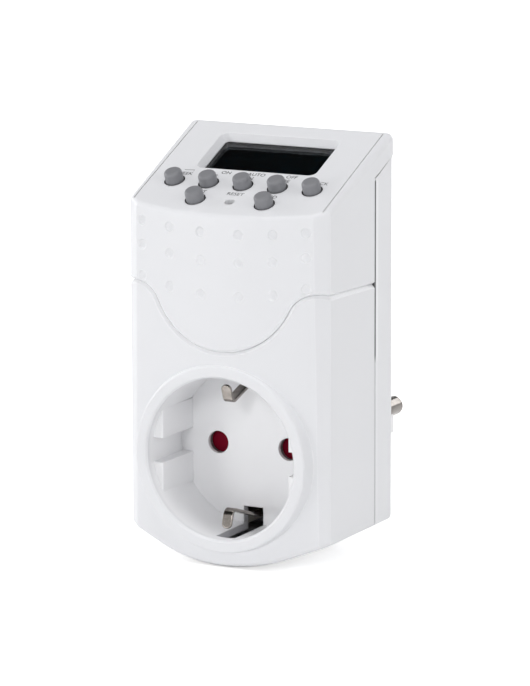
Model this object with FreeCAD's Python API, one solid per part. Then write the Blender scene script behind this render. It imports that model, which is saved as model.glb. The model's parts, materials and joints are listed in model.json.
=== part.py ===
# Digital plug-in timer with an earthed socket in front and an earthed plug behind, in millimetres.
# +X is right when facing the front, +Y points at the wall, +Z is up. The origin is the centre of
# the plug's end face, midway between the two pins. A depth is measured backwards from the plane
# of the socket ring, and a drop is measured squarely down from the sloping control face.
import FreeCAD, Part
import math
import os
from FreeCAD import Vector

# Body
BODY_DEPTH = 38.7             # ring plane to the back plane
REAR_COVER_DEPTH = 10.3       # seam to the back plane
HALF_WIDTH_FRONT = 26.6       # at the corner depth
SEAM_GROWTH = 0.45            # growth of the half width from there to the seam
BACK_GROWTH = 0.25            # and to the back plane
CORNER_STRIP = 2.46           # sideways width of the corner strips
STRIP_ANGLE = 41.0            # of the corner strips in plan
FRONT_DEPTH = 0.85            # of the bowed front on the centre line at socket height
FRONT_RADIUS = 105.0
FRONT_LEAN = 0.47             # degrees, the front comes forward towards the top
WALL = 2.0
FLOOR_LOW = -26.2             # lowest point of the curved bottom
BOTTOM_RADIUS = 46.0
BOTTOM_RISE = 21.3            # degrees, slope of the bottom's straight ends
SLOPE = 24.1                  # degrees, of the control face
SLOPE_START = 60.6            # height of the control face where the corner strips end
EDGE_BACK = 1.5               # fillet radii
EDGE_SLOPE = 1.4
EDGE_BOTTOM = 1.3

# Parting of the shells
SEAM_GAP = 0.38
SEAM_CHAMFER = 0.32           # on the rear cover's outer edge
REAR_TOP_DROP = 5.35          # rear cover's upper edge, below the control face
GROOVE_LOW = 25.85            # lowest point of the wavy groove
GROOVE_BOWL = 19.3            # radius of its middle arc
GROOVE_CREST = 7.3            # radius of its two side arcs
GROOVE_HEIGHT = 15.1          # from its lowest point to the crests
GROOVE_END_FALL = 14.0        # degrees, of its straight ends
GROOVE_SIDE_FALL = 1.2        # degrees, backwards along the sides
GROOVE_GAP = 0.08
GROOVE_CHAMFER = 0.6
GROOVE_BEVEL = 0.75           # the wider chamfer below the groove
LIP = 1.0                     # thickness of the locating lips
LIP_REACH = 2.2
LIP_GAP = 0.1

# Socket
RING_RADIUS = 22.4
RING_FLARE = 0.25             # growth of the ring's radius over each millimetre of depth
RECESS_RADIUS = 19.5
RECESS_DEPTH = 17.5
CUP_WALL = 1.8
CUP_FLOOR = 2.2
PIN_PITCH = 19.0
SOCKET_HOLE_RADIUS = 2.75
GUIDE_BLOCK = 3.1             # how far the guide blocks stand into the recess
GUIDE_FRONT = 3.1
GUIDE_DRAFT = 0.35            # how much lower the guide blocks are at their front
GUIDE_ROUND = 0.4
GUIDE_TOP = 10.2
GUIDE_SLOT = 5.9
CLIP_SLOT_WIDTH = 5.2
CLIP_SLOT_INNER = 2.2          # from the clips' roots to the slots' inner ends
CLIP_CHANNEL_FRONT = 3.3
CLIP_CHANNEL = 3.1            # depth of the clip channels in the recess wall
RIM_ROUND = 0.5

# Plug
PLUG_LENGTH = 17.6            # back plane to the plug's end face
PLUG_PLAY = 0.6               # of a plug of this pattern in a socket of this pattern
PLUG_FLAT = 2.8               # how far the side flats lie inside the radius
PLUG_RIB = 4.4
PLUG_WALL = 2.0
PLUG_END_WALL = 2.5
PLUG_CHAMFER = 0.8
PLUG_GROOVE = 2.1             # depth of the earth grooves
PLUG_GROOVE_WIDTH = 6.0
PLUG_GROOVE_END = 1.5         # what is left of the plug behind the grooves
EARTH_SLOT = 0.6              # of the earth strips' slots behind the back plane
PIN_RADIUS = 2.4
PIN_SEAT_RADIUS = 2.8         # of the thicker stretch inside the end wall
PIN_LENGTH = 19.3
PIN_TIP = 0.6                 # radius of the tip's rounded edge
PIN_COLLAR_RADIUS = 3.6
PIN_COLLAR = 2.4
PIN_TAIL_RADIUS = 1.7
PIN_TAIL = 4.2

# Control face, with heights along the slope from where the corner strips end
WINDOW_SIDE = 10.6            # from the window to the body's half width
WINDOW_LOW = 13.7
WINDOW_BEVEL = 1.0
WINDOW_ROUND = 1.9
BUTTON_SIDE = 8.3             # from the outer buttons' middles to the body's half width
BUTTON_ROW_LOW = 0.25
BUTTON_ROW_STEP = 7.25
BUTTON_RADIUS = 2.25
BUTTON_HOLE_GAP = 0.28
BUTTON_TAPER = 0.1
BUTTON_ROUND = 0.75
BUTTON_PROUD = 2.7
BUTTON_TRAVEL = 1.15
BUTTON_FLANGE_REACH = 0.6     # beyond the button's hole
BUTTON_FLANGE = 0.8
BUTTON_FLANGE_GAP = 0.15
BUTTON_STEM_RADIUS = 1.8
RESET_HOLE_RADIUS = 1.2
SIDE_LINE_INSET = 1.6         # of the side lines from the body's half width
SIDE_LINE_LOW = -1.3
SIDE_LINE_BACK = 2.37
SIDE_LINE_WIDTH = 0.2
SIDE_LINE_DEPTH = 0.25
DIMPLE_RADIUS = 1.3
DIMPLE_DEPTH = 0.36
DIMPLE_OVER = 0.5             # of their cutters outside the front
DIMPLE_INSETS = (4.9, 12.95, 21.55)   # of the columns from the body's half width
DIMPLE_ROWS = ((53.9, 0.0030), (47.1, 0.0051), (39.0, 0.0065))   # height on the centre line, sag

# Display stack
LENS_SIDE = 2.2               # overlap of the lens beyond the window
LENS_BELOW = 1.6
LENS_ABOVE = 0.4
LENS_THICK = 1.0
FRAME_SIDE = 0.5              # growth of the frame beyond the lens
FRAME_BELOW = 0.2
FRAME_BACK_GAP = 0.35         # from the frame's rear corner to the inside of the back wall
FRAME_WALL = 1.1
FRAME_FRONT = 1.55            # frame material in front of the panel
LCD_THICK = 1.8
ZEBRA_HEIGHT = 1.2
ZEBRA_WIDTH = 1.6
ZEBRA_INSET = 0.4
DISPLAY_BOARD_THICK = 1.2
DISPLAY_BOARD_SIDE = 1.6      # from the board's edge to the inside of the wall
DISPLAY_BOARD_LOW = -4.4
DISPLAY_BOARD_BACK = 0.9      # short of the frame's upper edge
MAT_THICK = 1.0
MAT_MARGIN = 4.1              # of the keypad mat beyond the middles of the button rows
MAT_SIDE = 0.4                # from the mat's edge to the board's edge
DOME_HEIGHT = 2.4             # above the mat's sheet
DOME_TOP_RADIUS = 2.0
DOME_BASE_RADIUS = 3.8
DOME_SKIN = 0.3
PILL_THICK = 0.4
PILL_RADIUS = 1.3
RESET_SWITCH_WIDTH = 6.0
RESET_SWITCH_LENGTH = 3.6
RESET_SWITCH_HEIGHT = 3.3
RESET_PLUNGER_RADIUS = 1.0
RESET_PLUNGER_SUNK = 0.3
RESET_PLUNGER_HEIGHT = 1.1
RESET_TRAVEL = 0.3
POST_RADIUS = 1.9
POST_INSET = 1.6              # of the post's middle from the board's side edge
POST_LOW = 3.0                # and from its lower and upper edges
POST_HIGH = 2.8
CHIP_BALL = 9.0
CHIP_HEIGHT = 1.5
CHIP_ABOVE = 7.0              # from the upper button row to its middle
CRYSTAL_RADIUS = 1.0
CRYSTAL_LENGTH = 6.0
BATTERY_RADIUS = 5.8
BATTERY_HEIGHT = 4.2

# Screws
UPPER_SCREW_RISE = 5.05       # of the upper housing screws above the groove's crests
LOWER_SCREW_Z = -14.6
SCREW_INSET = 5.1             # from the body's half width
SCREW_RADIUS = 1.4
SCREW_LENGTH = 13.6
SCREW_HEAD_RADIUS = 2.7
SCREW_HEAD = 1.7
SCREW_POCKET = 5.4            # depth of the head's seat from the back plane
SCREW_HEAD_GAP = 0.25
SCREW_TUBE_RADIUS = 3.8
BOSS_RADIUS = 3.0
BOSS_RIB = 2.0
SCREW_CLEARANCE = 0.06        # of a shank in its boss
THROUGH_CLEARANCE = 0.2       # of a shank in a board or a base
SMALL_SCREW_RADIUS = 0.9
SMALL_HEAD_RADIUS = 1.8
SMALL_HEAD = 1.2

# Contact carrier and shutter
CARRIER_RADIUS = 20.0
CARRIER_BASE = 2.0
CARRIER_SKIRT = 1.6
CARRIER_POST_XZ = 11.5
CARRIER_POST_RADIUS = 2.4
CARRIER_SCREW_REACH = 6.0
POCKET_RADIUS = 3.25
POCKET_WALL = 1.05
CONTACT_GAP = 0.3             # between a socket contact and its pocket
CONTACT_WALL = 0.6
CONTACT_SLIT = 1.2
CONTACT_TAIL_RADIUS = 1.2
SHUTTER_GAP = 0.4             # between the recess floor and the shutter
SHUTTER_THICK = 1.4
SHUTTER_RADIUS = 12.8
SHUTTER_HALF_ANGLE = 19.0
SHUTTER_HUB_RADIUS = 4.2
SPRING_LENGTH = 2.4
SPRING_GAP = 0.1
AXLE_RADIUS = 1.5
AXLE_SHOULDER = 1.2
RUNNING_GAP = 0.06

# Earth parts and current strips
CLIP_WIDTH = 2.6
CLIP_THICK = 0.8
CLIP_ROOT = 7.5               # behind the recess floor's back
CLIP_ROOT_INSET = 2.3         # inside the recess radius
CLIP_NOSE_DEPTH = 5.2
CLIP_NOSE_INSET = 6.6
CLIP_NOSE_RADIUS = 1.5
CLIP_TIP_DEPTH = 3.7
CLIP_TIP_INSET = 2.1
CLIP_EDGE_ROUND = 0.25
CLIP_TIP_ROUND = 1.2
STRAP_WIDTH = 5.0
STRAP_THICK = 0.8
STRIP_WIDTH = 4.0
STRIP_THICK = 0.6
STRIP_GAP = 0.1
EARTH_SLOT_GAP = 0.4
OUTPUT_STRIP_THICK = 0.5
OUTPUT_STRIP_OFFSET = 7.5     # its outer edge beyond the socket contact's axis

# Power board and what stands on it
POWER_BOARD_THICK = 1.6
POWER_BOARD_PAD = 0.9         # height of the screw pads on the rear cover
PAD_RADIUS = 2.4
PAD_SKIN = 0.6                # left behind the pads' screw holes
POWER_BOARD_SIDE = 3.6        # from the board's edge to the inside of the wall
POWER_BOARD_RISE = 5.2        # its lower edge above the contact carrier
POWER_BOARD_BELOW = 3.35      # its upper edge below the underside of the display board
POWER_SCREW_X = 12.0
POWER_SCREW_HEAD = 1.3
BOARD_GAP = 0.4               # between the board and the screw tubes
PART_GAP = 0.7                # between a part and its neighbour
RELAY_TOP = 10.5              # from the board's upper edge to the relay's
RELAY_WIDTH = 19.0
RELAY_LENGTH = 15.5
RELAY_HEIGHT = 15.3
CAPACITOR_LENGTH = 8.3
CAPACITOR_HEIGHT = 13.0
FILTER_RADIUS = 4.0
FILTER_HEIGHT = 11.5
VARISTOR_RADIUS = 3.6
VARISTOR_THICK = 3.2
DIODE_RADIUS = 1.0
DIODE_LENGTH = 4.4
RESISTOR_RADIUS = 1.1
RESISTOR_LENGTH = 6.2
TRANSISTOR_RADIUS = 2.3
TRANSISTOR_HEIGHT = 4.6
HEADER_PITCH = 2.54
HEADER_PINS = 6
HEADER_PIN = 0.6
CASE_ROUND = 0.8

# What follows from the sizes above
CORNER_BOW = FRONT_RADIUS - math.sqrt(FRONT_RADIUS ** 2 - (HALF_WIDTH_FRONT - CORNER_STRIP) ** 2)
CORNER_DEPTH = FRONT_DEPTH + CORNER_BOW + CORNER_STRIP * math.tan(math.radians(STRIP_ANGLE))
SLOPE_LENGTH = (BODY_DEPTH - CORNER_DEPTH) / math.cos(math.radians(SLOPE))
PLUG_END = BODY_DEPTH + PLUG_LENGTH
RING_Y = -PLUG_END
HALF_PITCH = PIN_PITCH / 2
SEAM_DEPTH = BODY_DEPTH - REAR_COVER_DEPTH
HALF_WIDTH_SEAM = HALF_WIDTH_FRONT + SEAM_GROWTH
HALF_WIDTH_BACK = HALF_WIDTH_FRONT + BACK_GROWTH
FLOOR_BACK = RECESS_DEPTH + CUP_FLOOR
GUIDE_FACE_X = RECESS_RADIUS - GUIDE_BLOCK
CLIP_CHANNEL_HIGH = RECESS_RADIUS + CLIP_CHANNEL
CLIP_ROOT_DEPTH = FLOOR_BACK + CLIP_ROOT
CLIP_ROOT_HEIGHT = RECESS_RADIUS - CLIP_ROOT_INSET
CLIP_SLOT_LOW = CLIP_ROOT_HEIGHT - CLIP_SLOT_INNER
PLUG_RADIUS = RECESS_RADIUS - PLUG_PLAY
PLUG_FLAT_X = PLUG_RADIUS - PLUG_FLAT
PLUG_GROOVE_FLOOR = PLUG_RADIUS - PLUG_GROOVE
EARTH_SLOT_DEPTH = BODY_DEPTH + EARTH_SLOT
WINDOW_HALF_WIDTH = HALF_WIDTH_FRONT - WINDOW_SIDE
BUTTON_PITCH = (HALF_WIDTH_FRONT - BUTTON_SIDE) / 2
BUTTON_ROW_HIGH = BUTTON_ROW_LOW + BUTTON_ROW_STEP
BUTTON_HOLE_RADIUS = BUTTON_RADIUS + BUTTON_HOLE_GAP
BUTTON_FLANGE_RADIUS = BUTTON_HOLE_RADIUS + BUTTON_FLANGE_REACH
SIDE_LINE_X = HALF_WIDTH_FRONT - SIDE_LINE_INSET
SIDE_LINE_HIGH = SLOPE_LENGTH - SIDE_LINE_BACK
GROOVE_TOP = GROOVE_LOW + GROOVE_HEIGHT
FAR = 120.0
TOUCH = 0.05

# Drops below the control face, measured squarely
LENS_DROP = WALL
FRAME_DROP = LENS_DROP + LENS_THICK + TOUCH
LCD_DROP = FRAME_DROP + FRAME_FRONT
ZEBRA_DROP = LCD_DROP + LCD_THICK
BOARD_DROP = ZEBRA_DROP + ZEBRA_HEIGHT
BOARD_UNDER = BOARD_DROP + DISPLAY_BOARD_THICK
MAT_DROP = BOARD_DROP - MAT_THICK
DOME_DROP = MAT_DROP - DOME_HEIGHT
PILL_DROP = BOARD_DROP - BUTTON_TRAVEL - TOUCH - PILL_THICK
RESET_SWITCH_DROP = BOARD_DROP - RESET_SWITCH_HEIGHT
FRAME_BACK_DEPTH = BODY_DEPTH - WALL - FRAME_BACK_GAP
FRAME_BACK_RUN = FRAME_BACK_DEPTH - CORNER_DEPTH - BOARD_DROP * math.sin(math.radians(SLOPE))
WINDOW_HIGH = FRAME_BACK_RUN / math.cos(math.radians(SLOPE)) - LENS_ABOVE
DISPLAY_BOARD_HALF_WIDTH = HALF_WIDTH_FRONT - WALL - DISPLAY_BOARD_SIDE
DISPLAY_BOARD_HIGH = WINDOW_HIGH + LENS_ABOVE - DISPLAY_BOARD_BACK
MAT_HALF_WIDTH = DISPLAY_BOARD_HALF_WIDTH - MAT_SIDE
POST_X = DISPLAY_BOARD_HALF_WIDTH - POST_INSET

# Depths behind the contacts
SCREW_SEAT_DEPTH = BODY_DEPTH - SCREW_POCKET
SCREW_END_DEPTH = SCREW_SEAT_DEPTH - SCREW_LENGTH
POWER_BOARD_BACK = BODY_DEPTH - WALL - POWER_BOARD_PAD
POWER_BOARD_DEPTH = POWER_BOARD_BACK - POWER_BOARD_THICK
STRIP_DEPTH = BODY_DEPTH - WALL - STRIP_GAP - STRIP_THICK
CARRIER_BACK = STRIP_DEPTH - STRAP_THICK
CARRIER_BASE_DEPTH = CARRIER_BACK - CARRIER_BASE
SHUTTER_DEPTH = FLOOR_BACK + SHUTTER_GAP
SHUTTER_BACK = SHUTTER_DEPTH + SHUTTER_THICK
POWER_BOARD_HALF_WIDTH = HALF_WIDTH_FRONT - WALL - POWER_BOARD_SIDE
POWER_BOARD_LOW = CARRIER_RADIUS + POWER_BOARD_RISE
BOARD_UNDER_RISE = (POWER_BOARD_DEPTH - CORNER_DEPTH) * math.tan(math.radians(SLOPE))
BOARD_UNDER_HEIGHT = SLOPE_START + BOARD_UNDER_RISE - BOARD_UNDER / math.cos(math.radians(SLOPE))
POWER_BOARD_HIGH = BOARD_UNDER_HEIGHT - POWER_BOARD_BELOW


def at(depth):
    """Y of a depth behind the ring plane."""
    return RING_Y + depth


def box(x0, x1, depth0, depth1, z0, z1):
    return Part.makeBox(x1 - x0, depth1 - depth0, z1 - z0, Vector(x0, at(depth0), z0))


def rod(x, z, depth0, depth1, radius):
    return Part.makeCylinder(radius, depth1 - depth0, Vector(x, at(depth0), z), Vector(0, 1, 0))


def cone(x, z, depth0, depth1, radius0, radius1):
    return Part.makeCone(radius0, radius1, depth1 - depth0, Vector(x, at(depth0), z), Vector(0, 1, 0))


def on_slope(shape):
    """Put a shape drawn with Y up the slope and Z out of the control face into its place."""
    shape.rotate(Vector(0, 0, 0), Vector(1, 0, 0), SLOPE)
    shape.translate(Vector(0, at(CORNER_DEPTH), SLOPE_START))
    return shape


def slope_box(x0, x1, up0, up1, drop0, drop1):
    return on_slope(Part.makeBox(x1 - x0, up1 - up0, drop1 - drop0, Vector(x0, up0, -drop1)))


def slope_rod(x, up, drop0, drop1, radius):
    return on_slope(Part.makeCylinder(radius, drop1 - drop0, Vector(x, up, -drop1)))


def slope_cone(x, up, drop0, drop1, radius0, radius1):
    """Frustum with radius0 at its upper end drop0 and radius1 at its lower end drop1."""
    return on_slope(Part.makeCone(radius1, radius0, drop1 - drop0, Vector(x, up, -drop1)))


def front_depth(x, z):
    """Depth of the bowed, slightly leaning front."""
    bow = FRONT_RADIUS - math.sqrt(FRONT_RADIUS ** 2 - x ** 2)
    return FRONT_DEPTH - z * math.tan(math.radians(FRONT_LEAN)) + bow


def closed_face(edges):
    return Part.Face(Part.Wire(edges))


def polygon_face(points):
    return Part.Face(Part.makePolygon(points + points[:1]))


def upside_down(shape):
    return shape.mirror(Vector(0, 0, 0), Vector(0, 0, 1))


def fused(shapes):
    return shapes[0].multiFuse(shapes[1:]).removeSplitter()


# Outer form

def plan_prism(inset, half_front, half_back):
    """Upright prism of the plan outline: corner strips, drafted sides and flat back."""
    reach = 12.0
    strip = math.radians(STRIP_ANGLE)
    start_x = half_front - reach * math.cos(strip)
    start_depth = CORNER_DEPTH - reach * math.sin(strip)
    right = [(start_x, start_depth), (half_front, CORNER_DEPTH), (half_back, BODY_DEPTH)]
    left = [(-x, depth) for x, depth in reversed(right)]
    points = [Vector(x, at(depth), -FAR) for x, depth in right + left]
    outline = Part.makePolygon(points + points[:1])
    if inset:
        outline = outline.makeOffset2D(-inset)
    return Part.Face(outline).extrude(Vector(0, 0, 2 * FAR))


def front_cylinder(inset):
    """Large leaning cylinder whose near side is the bowed front."""
    lean = math.radians(FRONT_LEAN)
    axis = Vector(0, -math.sin(lean), math.cos(lean))
    middle = Vector(0, at(FRONT_DEPTH + FRONT_RADIUS), 0)
    return Part.makeCylinder(FRONT_RADIUS - inset, 2 * FAR, middle - axis * FAR, axis)


def under_bottom(inset):
    """Everything below the curved bottom: an arc in the middle and straight rising ends."""
    rise = math.radians(BOTTOM_RISE)
    radius = BOTTOM_RADIUS - inset
    centre_z = FLOOR_LOW + BOTTOM_RADIUS
    end_x = radius * math.sin(rise)
    end_z = centre_z - radius * math.cos(rise)
    run = 40.0
    far_x = end_x + run * math.cos(rise)
    far_z = end_z + run * math.sin(rise)

    def point(x, z):
        return Vector(x, at(-10), z)

    arc = Part.Arc(point(-end_x, end_z), point(0, centre_z - radius), point(end_x, end_z)).toShape()
    corners = [point(end_x, end_z), point(far_x, far_z), point(far_x, -FAR),
               point(-far_x, -FAR), point(-far_x, far_z), point(-end_x, end_z)]
    sides = [Part.makeLine(a, b) for a, b in zip(corners, corners[1:])]
    return closed_face([arc] + sides).extrude(Vector(0, FAR, 0))


def form(inset, half_front, half_back):
    """The closed body without its roundings, every face moved in by inset."""
    solid = plan_prism(inset, half_front, half_back).common(front_cylinder(inset))
    solid = solid.cut(under_bottom(inset))
    return solid.cut(slope_box(-FAR, FAR, -FAR, FAR, inset - FAR, inset))


def front_form(inset):
    """Front covers' form: the sides widen evenly to the seam and on to the back."""
    growth = (HALF_WIDTH_SEAM - HALF_WIDTH_FRONT) / (SEAM_DEPTH - CORNER_DEPTH)
    half_back = HALF_WIDTH_FRONT + growth * (BODY_DEPTH - CORNER_DEPTH)
    return form(inset, HALF_WIDTH_FRONT, half_back)


def rear_form(inset):
    """Rear cover's form: the sides narrow from the seam to the back."""
    growth = (HALF_WIDTH_BACK - HALF_WIDTH_SEAM) / (BODY_DEPTH - SEAM_DEPTH)
    half_front = HALF_WIDTH_SEAM + growth * (CORNER_DEPTH - SEAM_DEPTH)
    return form(inset, half_front, HALF_WIDTH_BACK)


def middle_of(edge):
    low, high = edge.ParameterRange
    return edge.valueAt((low + high) / 2)


def drop_of(point):
    """How far a point lies squarely below the control face."""
    slope = math.radians(SLOPE)
    along_y = point.y - at(CORNER_DEPTH)
    return along_y * math.sin(slope) - (point.z - SLOPE_START) * math.cos(slope)


def is_upright(edge):
    return edge.Length > BODY_DEPTH and abs(edge.tangentAt(edge.FirstParameter).z) > 0.99


def upright_edges(solid, depth):
    """Long upright edges at a depth."""
    return [edge for edge in solid.Edges
            if is_upright(edge) and abs(middle_of(edge).y - at(depth)) < TOUCH]


def slope_edges(solid):
    return [edge for edge in solid.Edges
            if abs(drop_of(middle_of(edge))) < TOUCH
            and all(abs(drop_of(v.Point)) < TOUCH for v in edge.Vertexes)]


def bottom_edges(solid):
    """Edges round the bottom, without the two that run backwards inside it."""
    side_low = HALF_WIDTH_FRONT - 3
    found = []
    for edge in solid.Edges:
        middle = middle_of(edge)
        low = middle.z < -15 and all(v.Point.z < -14 for v in edge.Vertexes)
        runs_back = abs(edge.tangentAt(edge.FirstParameter).y) > 0.99
        if low and not (runs_back and abs(middle.x) < side_low):
            found.append(edge)
    return found


def rounded(solid):
    """Round the back, the control face's edges and the bottom, in that order."""
    solid = solid.makeFillet(EDGE_BACK, upright_edges(solid, BODY_DEPTH))
    solid = solid.makeFillet(EDGE_SLOPE, slope_edges(solid))
    return solid.makeFillet(EDGE_BOTTOM, bottom_edges(solid))


# Partings

def groove_layout():
    """Centre height of the groove's bowl, centre of its crests, and the angle where they meet."""
    bowl_z = GROOVE_LOW + GROOVE_BOWL
    crest_z = GROOVE_TOP - GROOVE_CREST
    crest_x = math.sqrt((GROOVE_BOWL + GROOVE_CREST) ** 2 - (bowl_z - crest_z) ** 2)
    return bowl_z, crest_x, crest_z, math.atan2(crest_x, bowl_z - crest_z)


def groove_region(offset):
    """Everything above the wavy groove moved up by offset: a bowl between two crests."""
    bowl_z, crest_x, crest_z, turn = groove_layout()
    fall = math.radians(GROOVE_END_FALL)
    bowl = GROOVE_BOWL - offset
    crest = GROOVE_CREST + offset

    def on_bowl(angle):
        return Vector(bowl * math.sin(angle), at(-10), bowl_z - bowl * math.cos(angle))

    def on_crest(angle):
        return Vector(crest_x + crest * math.sin(angle), at(-10), crest_z + crest * math.cos(angle))

    def left(point):
        return Vector(-point.x, point.y, point.z)

    meet = on_bowl(turn)
    mid_crest = on_crest((fall - turn) / 2)
    end = on_crest(fall)
    run = 30.0
    far = Vector(end.x + run * math.cos(fall), end.y, end.z - run * math.sin(fall))
    top = Vector(far.x, far.y, FAR)
    edges = [Part.Arc(left(meet), on_bowl(0), meet).toShape(),
             Part.Arc(meet, mid_crest, end).toShape(),
             Part.makeLine(end, far), Part.makeLine(far, top), Part.makeLine(top, left(top)),
             Part.makeLine(left(top), left(far)), Part.makeLine(left(far), left(end)),
             Part.Arc(left(end), left(mid_crest), left(meet)).toShape()]
    reach = 80.0
    drop = reach * math.tan(math.radians(GROOVE_SIDE_FALL))
    return closed_face(edges).extrude(Vector(0, reach, -drop))


def groove_z(point, offset):
    """Height of the wavy groove above or below a point."""
    bowl_z, crest_x, crest_z, turn = groove_layout()
    x = abs(point.x)
    sunk = (point.y - at(-10)) * math.tan(math.radians(GROOVE_SIDE_FALL))
    fall = math.radians(GROOVE_END_FALL)
    bowl = GROOVE_BOWL - offset
    crest = GROOVE_CREST + offset
    if x < bowl * math.sin(turn):
        return bowl_z - math.sqrt(bowl ** 2 - x ** 2) - sunk
    end_x = crest_x + crest * math.sin(fall)
    if x < end_x:
        return crest_z + math.sqrt(crest ** 2 - (x - crest_x) ** 2) - sunk
    return crest_z + crest * math.cos(fall) - (x - end_x) * math.tan(fall) - sunk


def rear_region(offset):
    """Everything behind the seam and below its sloping top, grown forwards and up by offset."""
    slope = math.radians(SLOPE)
    depth = SEAM_DEPTH - offset
    drop = REAR_TOP_DROP - offset

    def top_z(depth_here):
        rise = (depth_here - CORNER_DEPTH) * math.tan(slope)
        return SLOPE_START + rise - drop / math.cos(slope)

    far = BODY_DEPTH + 30
    outline = [Vector(-FAR, at(depth), -FAR), Vector(-FAR, at(depth), top_z(depth)),
               Vector(-FAR, at(far), top_z(far)), Vector(-FAR, at(far), -FAR)]
    return polygon_face(outline).extrude(Vector(2 * FAR, 0, 0))


def shell(build_form):
    return rounded(build_form(0)).cut(build_form(WALL))


def lip_layer(build_form):
    """Thin layer just inside the wall, from which the locating lips are cut."""
    return build_form(WALL + LIP_GAP).cut(build_form(WALL + LIP_GAP + LIP))


def screw_places():
    """Middles of the four housing screws, as (x, z)."""
    x = HALF_WIDTH_FRONT - SCREW_INSET
    return [(side * x, z) for z in (GROOVE_TOP + UPPER_SCREW_RISE, LOWER_SCREW_Z) for side in (-1, 1)]


def housing_boss(x, z):
    """Boss and side rib behind the front wall; the boss takes the thread of a housing screw."""
    back = SEAM_DEPTH - SEAM_GAP
    x0, x1 = sorted((x, math.copysign(HALF_WIDTH_SEAM, x)))
    rib = box(x0, x1, CORNER_DEPTH, back - LIP_REACH - 1, z - BOSS_RIB / 2, z + BOSS_RIB / 2)
    boss = rod(x, z, CORNER_DEPTH, back, BOSS_RADIUS)
    return boss.fuse(rib).common(front_form(WALL / 2))


def housing_boss_hole(x, z):
    return rod(x, z, SCREW_END_DEPTH - 1, SEAM_DEPTH + 1, SCREW_RADIUS + SCREW_CLEARANCE)


# Socket housing

def ring_and_cup():
    flare_depth = 4.0
    ring = cone(0, 0, 0, flare_depth, RING_RADIUS, RING_RADIUS + RING_FLARE * flare_depth)
    ring = ring.common(rod(0, 0, -1, front_depth(RING_RADIUS, 0) + WALL, RING_RADIUS + 5))
    ring_front = [edge for edge in ring.Edges if abs(middle_of(edge).y - at(0)) < TOUCH]
    ring = ring.makeFillet(RIM_ROUND, ring_front)
    cup = rod(0, 0, RIM_ROUND, FLOOR_BACK, RECESS_RADIUS + CUP_WALL)
    return ring.fuse(cup)


def recess_cutter():
    """The round recess, flared a little at its front rim."""
    recess = rod(0, 0, -1, RECESS_DEPTH, RECESS_RADIUS)
    rim = cone(0, 0, -RIM_ROUND, RIM_ROUND, RECESS_RADIUS + 2 * RIM_ROUND, RECESS_RADIUS)
    return recess.fuse(rim)


def guide_block(side, z0, z1):
    """Block whose face leans a little towards the wall, with a rounded front edge."""
    front_x = side * (GUIDE_FACE_X + GUIDE_DRAFT)
    wall_x = side * (RECESS_RADIUS + 1)
    front = at(GUIDE_FRONT)
    back = at(RECESS_DEPTH + TOUCH)
    corners = [Vector(side * GUIDE_FACE_X, back, z0), Vector(front_x, front, z0),
               Vector(wall_x, front, z0), Vector(wall_x, back, z0)]
    block = polygon_face(corners).extrude(Vector(0, 0, z1 - z0))
    edges = [edge for edge in block.Edges
             if middle_of(edge).distanceToPoint(Vector(front_x, front, (z0 + z1) / 2)) < TOUCH]
    return block.makeFillet(GUIDE_ROUND, edges)


def guide_blocks():
    """Two blocks on each side that guide a plug's side ribs."""
    inner = rod(0, 0, GUIDE_FRONT, RECESS_DEPTH + TOUCH, RECESS_RADIUS + TOUCH)
    blocks = []
    for side in (-1, 1):
        for lift in (-1, 1):
            z0, z1 = sorted((lift * GUIDE_SLOT / 2, lift * GUIDE_TOP))
            blocks.append(guide_block(side, z0, z1).common(inner))
    return blocks


def earth_slots():
    """Slots through the recess floor and channels along its wall for the earth clips."""
    half = CLIP_SLOT_WIDTH / 2
    cutters = []
    for lift in (-1, 1):
        z0, z1 = sorted((lift * CLIP_SLOT_LOW, lift * CLIP_CHANNEL_HIGH))
        cutters.append(box(-half, half, RECESS_DEPTH - 1, FLOOR_BACK + 1, z0, z1))
        z0, z1 = sorted((lift * (RECESS_RADIUS - 2), lift * CLIP_CHANNEL_HIGH))
        cutters.append(box(-half, half, CLIP_CHANNEL_FRONT, RECESS_DEPTH, z0, z1))
    return cutters


def carrier_post_places():
    return [(CARRIER_POST_XZ, CARRIER_POST_XZ), (-CARRIER_POST_XZ, -CARRIER_POST_XZ)]


def socket_housing():
    housing = shell(front_form).cut(groove_region(-GROOVE_GAP / 2)).cut(rear_region(SEAM_GAP))
    housing = housing.makeChamfer(GROOVE_BEVEL, groove_edges(housing, -GROOVE_GAP / 2))
    low_bosses = [housing_boss(x, z) for x, z in screw_places() if z < 0]
    posts = [rod(x, z, FLOOR_BACK - TOUCH, CARRIER_BASE_DEPTH, CARRIER_POST_RADIUS)
             for x, z in carrier_post_places()]
    lip = lip_layer(front_form).common(groove_region(-LIP_REACH)).cut(groove_region(LIP_REACH))
    lip = lip.cut(box(-FAR, FAR, SEAM_DEPTH - 2 * LIP_REACH, FAR, -FAR, FAR))
    foot = lip_foot()
    housing = fused([housing, lip, foot, ring_and_cup()] + low_bosses + posts)
    housing = housing.cut(recess_cutter())
    housing = fused([housing] + guide_blocks())
    pin_holes = [rod(side * HALF_PITCH, 0, 0, FLOOR_BACK + 1, SOCKET_HOLE_RADIUS)
                 for side in (-1, 1)]
    screw_holes = [housing_boss_hole(x, z) for x, z in screw_places() if z < 0]
    post_holes = [rod(x, z, CARRIER_BASE_DEPTH - CARRIER_SCREW_REACH - 1, CARRIER_BASE_DEPTH + 1,
                      SMALL_SCREW_RADIUS + SCREW_CLEARANCE) for x, z in carrier_post_places()]
    return housing.cut(pin_holes + screw_holes + post_holes + earth_slots())


def lip_foot():
    """Thick foot that joins the lip to the inside of the housing's wall below the groove."""
    layer = front_form(WALL / 2).cut(front_form(WALL + LIP_GAP + LIP))
    foot = layer.common(groove_region(-LIP_REACH)).cut(groove_region(-0.8))
    return foot.cut(box(-FAR, FAR, SEAM_DEPTH - 2 * LIP_REACH, FAR, -FAR, FAR))


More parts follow.
